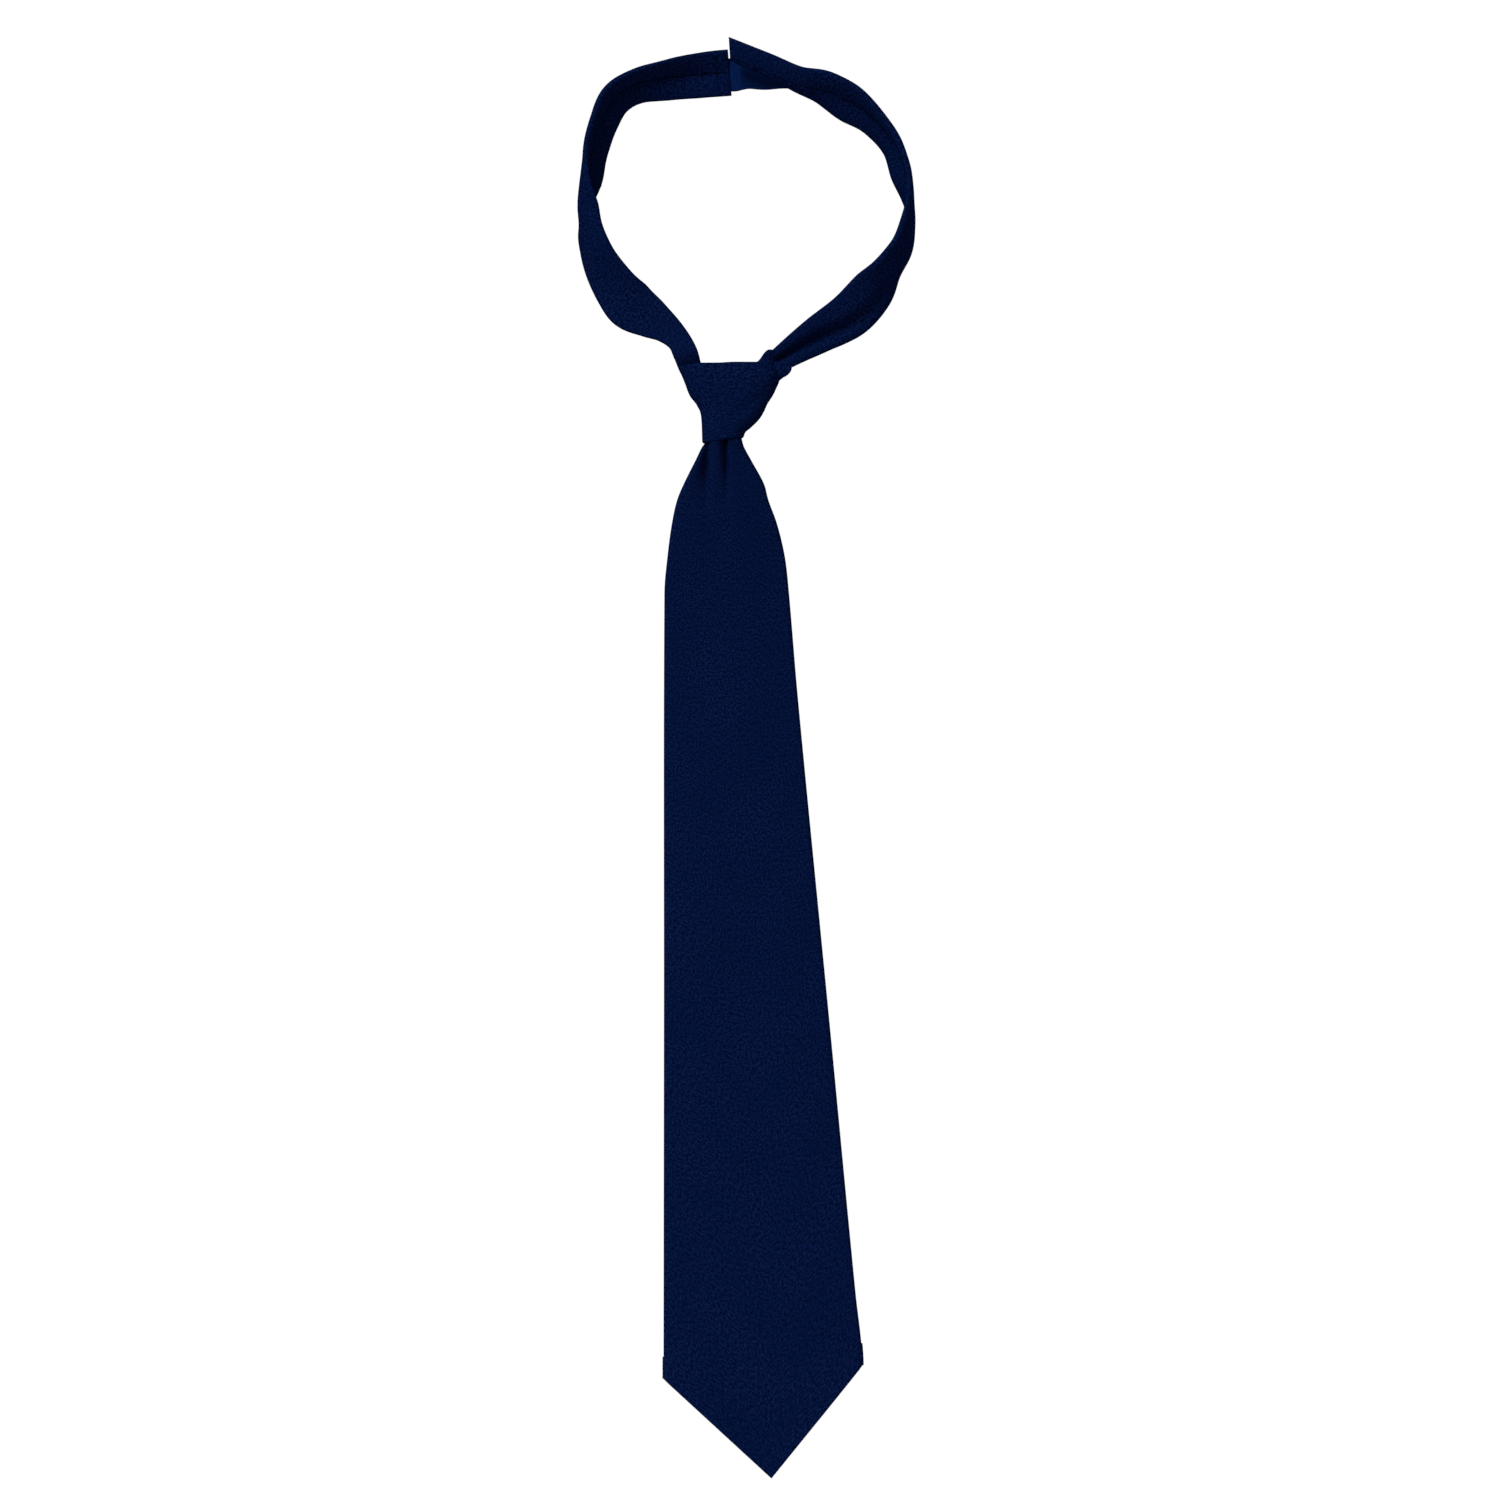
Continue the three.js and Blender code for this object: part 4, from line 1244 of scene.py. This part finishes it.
    def core_point(self, across: float, along: float) -> Vector:
        """A point of the rolled cloth inside the knot."""
        turns, outermost, innermost = 2.6, 2.7, 7.4
        angle = across * turns * 2 * math.pi
        z = lerp(-14.5, 8.6 + 0.7 * math.sin(angle * 0.5), along)
        place = self.point(angle, z, lerp(outermost, innermost, across))
        place.x += (0.35 * across) * math.sin(z * 0.4)
        return place

    def back_point(self, across: float, along: float) -> Vector:
        """A point of the turn that crosses the knot's back."""
        z, inside = rolled_strip(along, -13.0, 10.0, roll=0.6, tuck=3, inner=0.1, fold=0.18)
        slope = 1.92 * (across - 0.5)
        x = lerp(smooth_line(self.back_left, z), smooth_line(self.back_right, z), across)
        side = abs(2 * across - 1)
        back = min(0.0, smooth_line(self.middle_y, z) + smooth_line(self.half_depth, z) + 1.0)
        pleat = 0.35 * math.sin((z - slope) * 0.75) * (1 - side)
        return Vector((x, back - 2.6 * side**5 - inside - 0.25 + pleat, z + slope))

    def build(self) -> None:
        """Makes the knot's pieces and ties them in."""
        for name, node, columns, rows, place, outward, wall, width in (
            ("knot_wrap", "knot_front_wrap", 170, 74, self.wrap_point, FORWARD, 0.5, 95.0),
            ("knot_side_turn", "knot_cross_turn", 60, 44, self.cuff_point, -UPWARD, 0.45, 22.0),
            ("knot_inner_roll", "knot_core", 150, 20, self.core_point, BACKWARD, 0.5, 110.0),
            ("knot_back_pass", "knot_back_turn", 60, 60, self.back_point, BACKWARD, 0.45, 28.0),
        ):
            piece = cloth_sheet(name, columns, rows, place, outward, wall)
            self.wardrobe.dress(piece, NAVY_CREPE, Slot.FABRIC)
            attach(piece, "knot")
            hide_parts(node)
        bars = []
        for i in range(6):
            direction = Vector((1, 0, 0.7 if i % 2 else -0.7))
            bars.append((Vector((-4 + i * 1.6, 0.15, 9.0 + 0.05 * i)), direction, BACKWARD))
        self.wardrobe.sew("knot_tack", bars, (1.9, 0.45, 0.45), "knot", "knot_tack_thread")


# ------------------------------------------------------------------ studio


@dataclass
class Studio:
    """Camera, soft lights, a white surround and a pale floor below the hanging tie."""

    aim: tuple[float, float, float] = (0.0079, -0.008, -0.1349)
    frame_width: float = 0.5763
    lens: float = 150.0
    sensor: float = 36.0
    ambient: float = 0.42
    floor_z: float = -0.60
    floor_radius: float = 0.8

    def build(self) -> None:
        """Sets the scene's camera, world, lights and floor."""
        scene = bpy.context.scene
        scene.view_settings.view_transform = "Standard"
        camera_data = bpy.data.cameras.new("camera")
        camera_data.lens = self.lens
        camera_data.sensor_width = self.sensor
        camera_data.clip_end = 20
        camera = bpy.data.objects.new("camera", camera_data)
        distance = self.frame_width * self.lens / self.sensor
        camera.location = (self.aim[0], self.aim[1] - distance, self.aim[2])
        camera.rotation_euler = (math.pi / 2, 0, 0)
        scene.collection.objects.link(camera)
        scene.camera = camera

        world = bpy.data.worlds.new("white surround")
        world.use_nodes = True
        tree = world.node_tree
        rays = add_node(tree, "ShaderNodeLightPath").outputs["Is Camera Ray"]
        strength = {"To Min": self.ambient, "To Max": 1.0}
        seen = add_node(tree, "ShaderNodeMapRange", strength, {"Value": rays}).outputs["Result"]
        ground = tree.nodes["Background"]
        ground.inputs["Color"].default_value = (1, 1, 1, 1)
        tree.links.new(seen, ground.inputs["Strength"])
        scene.world = world

        lamps = (
            ("key", Vector((-0.46, -0.72, 0.58)), 3.9, 34),
            ("back light", Vector((0.35, 0.8, 0.5)), 3.0, 40),
        )
        for name, source, power, softness in lamps:
            data = bpy.data.lights.new(name, "SUN")
            data.energy = power
            data.angle = math.radians(softness)
            lamp = bpy.data.objects.new(name, data)
            lamp.location = source * 2
            lamp.rotation_euler = source.to_track_quat("Z", "Y").to_euler()
            scene.collection.objects.link(lamp)
        self.build_floor()

    def build_floor(self) -> None:
        """Makes the floor, a disc of pale matt card with a faint mottle."""
        maker = bmesh.new()
        bmesh.ops.create_circle(maker, cap_ends=True, segments=96, radius=self.floor_radius)
        for vert in maker.verts:
            vert.co += Vector((self.aim[0], 0, self.floor_z))
        floor = new_object("floor", maker)
        material = bpy.data.materials.new("pale matt card")
        material.use_nodes = True
        tree = material.node_tree
        shader = tree.nodes["Principled BSDF"]
        shader.inputs["Roughness"].default_value = 0.9
        place = add_node(tree, "ShaderNodeTexCoord")
        mottle = add_node(tree, "ShaderNodeTexNoise", {"Scale": 30.0}, {"Vector": place.outputs["Object"]})
        shades = {6: linear("#B4B4B4"), 7: linear("#BCBCBC")}
        card = add_node(tree, "ShaderNodeMix", shades, {0: mottle.outputs["Fac"]}, data_type="RGBA")
        tree.links.new(card.outputs[2], shader.inputs["Base Color"])
        floor.data.materials.append(material)


# ------------------------------------------------------------------ the tie's own measures

LEFT_ROUTE = (
    Station(-11.8, -10.5, 5.5, 2, 7.0),
    Station(-14.4, -11.6, 11.4, 3, 8.8),
    Station(-16.3, -14.0, 16.8, 4, 9.6),
    Station(-18.9, -12.6, 21.9, 5, 9.4),
    Station(-23.6, -10.8, 26.6, 6, 11.8, hollow=0.5, hollow_at=-0.1),
    Station(-29.7, -9.6, 30.7, 8, 16.0, hollow=0.3),
    Station(-37.2, -9.2, 35.5, 13, 19.8, cup=0.4),
    Station(-43.2, -9.4, 41.7, 27, 19.4, cup=0.8),
    Station(-48.4, -9.7, 49.3, 42, 19.2, cup=1.2),
    Station(-52.1, -9.9, 56.6, 52, 18.8, cup=1.8),
    Station(-55.1, -10, 65.0, 63, 18.5, cup=2.8),
    Station(-56.7, -10, 75, 83, 18.5, cup=5.2),
    Station(-55.1, -10, 86.0, 107, 18.5, cup=4.2),
    Station(-52.1, -9.9, 96, 117, 18.5, hollow=-0.5, cup=1.6),
    Station(-48.3, -9.6, 106, 121, 18.5, hollow=-0.8, cup=0.8),
    Station(-43.4, -9.2, 115.1, 126, 18.5, hollow=-0.9, cup=0.3),
    Station(-34.4, -8.2, 121.0, 137, 18.5, hollow=-0.9, turn=-14),
    Station(-22, -6.4, 123.5, 153, 18.3, hollow=-0.9, turn=-16),
    Station(-10.5, -4.6, 124.8, 168, 18.0, hollow=-0.5, turn=-12),
    Station(0.6, -3.2, 125.8, 177, 18.0),
)

RIGHT_ROUTE = (
    Station(12.5, -12.4, 9.0, 8, 7.6),
    Station(19.8, -12.0, 14.4, 10, 9.6, hollow=2.6, hollow_at=0.0),
    Station(27, -10.6, 19.3, 12, 12.4, hollow=4.0, hollow_at=0.05, turn=-8),
    Station(35.2, -9.6, 24.3, 15, 15.8, hollow=4.2, hollow_at=0.14, turn=-14),
    Station(47.5, -9.4, 31.5, 18, 19.8, hollow=3.2, hollow_at=0.26, turn=-18),
    Station(56.5, -9.6, 40.6, 27, 20.8, hollow=1.4, hollow_at=0.3, cup=0.5, turn=-18),
    Station(62.5, -10, 49.0, 52, 19.4, cup=1.0, turn=-10),
    Station(67.6, -10, 58, 65, 18.5, cup=1.0),
    Station(70.4, -10, 67.5, 78, 18.5, cup=1.6),
    Station(70.4, -10, 77, 95, 18.5, cup=2.2),
    Station(68.0, -10.1, 86.5, 109, 18.5, hollow=-0.5, cup=1.8),
    Station(64.0, -10.2, 96.6, 111, 17.4, hollow=-1.0, cup=0.8),
    Station(56.7, -10.6, 105.6, 122, 16.4, hollow=-1.1, cup=0.4),
    Station(47.6, -11.6, 112.4, 131, 19.4, hollow=-1.0),
    Station(37.5, -12.8, 117.5, 138, 19.0, hollow=-0.6, turn=18),
    Station(26.5, -12.8, 120.0, 150, 15.9, turn=46),
    Station(14, -12.9, 125.1, 162, 15.0, turn=67),
    Station(0.8, -13.2, 130.5, 168, 14.4, turn=74),
)


def blade_pleats(x: float, z: float) -> float:
    """Depth of the two pleats that run out of the knot into the blade.

    Args:
        x: Place across, in millimetres.
        z: Height.

    Returns:
        How far the front is pushed back, in millimetres.
    """
    first_x = smooth_line(((-18, -8.0), (-24, -8.1), (-31, -8.0), (-40, -7.8), (-56, -7.6)), z)
    spread = smooth_line(((-18, 2.2), (-24, 3.8), (-31, 6.2), (-38, 8.5), (-56, 9.0)), z)
    strength = smooth_line(((-16, 3.4), (-28, 4.6), (-36, 2.7), (-44, 0.8), (-58, 0.0)), z)
    first = strength * (slope_down(x, first_x, spread) if x < first_x else bell(x, first_x, 0.8))
    second_x = smooth_line(((-17, -0.9), (-33, -0.2), (-45, -0.1)), z)
    depth = smooth_line(((-16, 3.4), (-26, 3.4), (-33, 1.6), (-42, 0.0)), z)
    second = depth * (slope_down(x, second_x, 3.0) if x < second_x else bell(x, second_x, 0.8))
    ridge = -0.5 * bell(x, -5.6, 1.8) * ease(-60, -24, z)
    return first + second + ridge


def tail_edges(sign: int) -> Rows:
    """X of one edge of the tail over Z.

    Args:
        sign: -1 for the left edge and 1 for the right.

    Returns:
        The rows of Z and X.
    """
    rows = ((-14, 3.6), (-19, 4.2), (-24, 5.2), (-60, 11.0), (-100, 13.0), (-230, 14.0), (-262, 14.0))
    return tuple((z, -2.2 + (-24 - z) / 24 + sign * half) for z, half in rows)


def hang_panels(wardrobe: Wardrobe) -> Panel:
    """Makes the blade and the tail.

    Args:
        wardrobe: The finishes.

    Returns:
        The blade, for what is sewn on it.
    """
    blade = Panel(
        name="blade",
        left=(
            (-13.5, -7.8), (-17, -8.6), (-19, -10.0), (-24, -12.4), (-33, -16.9), (-39.5, -19.6),
            (-48.5, -21.6), (-61, -23.3), (-75, -24.5), (-240, -24.7), (-420, -24.9),
        ),
        right=(
            (-13.5, 4.8), (-17, 5.6), (-19, 6.2), (-24, 8.9), (-33, 13.8), (-39.5, 15.6),
            (-48.5, 18.9), (-61, 21.9), (-75, 23.5), (-116, 27), (-240, 39.1), (-345, 49.2),
            (-362, 51.2), (-372, 51.9), (-420, 51.9),
        ),

        face=((-13, -13.8), (-19, -14.0), (-35, -13.4), (-60, -10.4), (-92, -7.9), (-420, -7.9)),
        depth=((-13, 5.6), (-19, 4.8), (-26, 3.7), (-40, 3.2), (-60, 3.0), (-420, 3.0)),
        top=-13.5,
        corners=(-377.3, -372.0),
        tip=-415.4,
        apex=-344.6,
        tip_at=0.542,
        hem=8.0,
        wardrobe=wardrobe,
        pleats=blade_pleats,
    )
    tail = Panel(
        name="tail",
        left=tail_edges(-1),
        right=tail_edges(1),
        face=((-14, -6.2), (-24, -5.2), (-60, -4.9), (-92, -4.1), (-420, -4.1)),
        depth=((-14, 2.2), (-420, 2.2)),
        top=-14.0,
        corners=(-230.0, -230.0),
        tip=-244.0,
        apex=-219.5,
        tip_at=0.5,
        hem=5.0,
        wardrobe=wardrobe,
        lining_reach=40.0,
        crown=0.25,
        columns=96,
        rows=130,
        seed=8.0,
    )
    for panel, end in ((blade, -0.0255), (tail, -0.046)):
        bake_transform(panel.build())
    return blade


def main() -> None:
    """Builds the tie round its frame."""
    logging.basicConfig(level=logging.INFO, format="%(name)s: %(message)s")
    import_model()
    Studio().build()
    wardrobe = Wardrobe()
    HookHalf(Side.LEFT, LEFT_ROUTE, (-17.3, -9.5, 18.4), wardrobe).build()
    LoopHalf(Side.RIGHT, RIGHT_ROUTE, (27.0, -9.8, 19.4), wardrobe, end_skew=-3.4).build()
    blade = hang_panels(wardrobe)
    BladeTrim(blade, wardrobe).build()
    Knot(wardrobe).build()


if __name__ == "__main__":
    main()
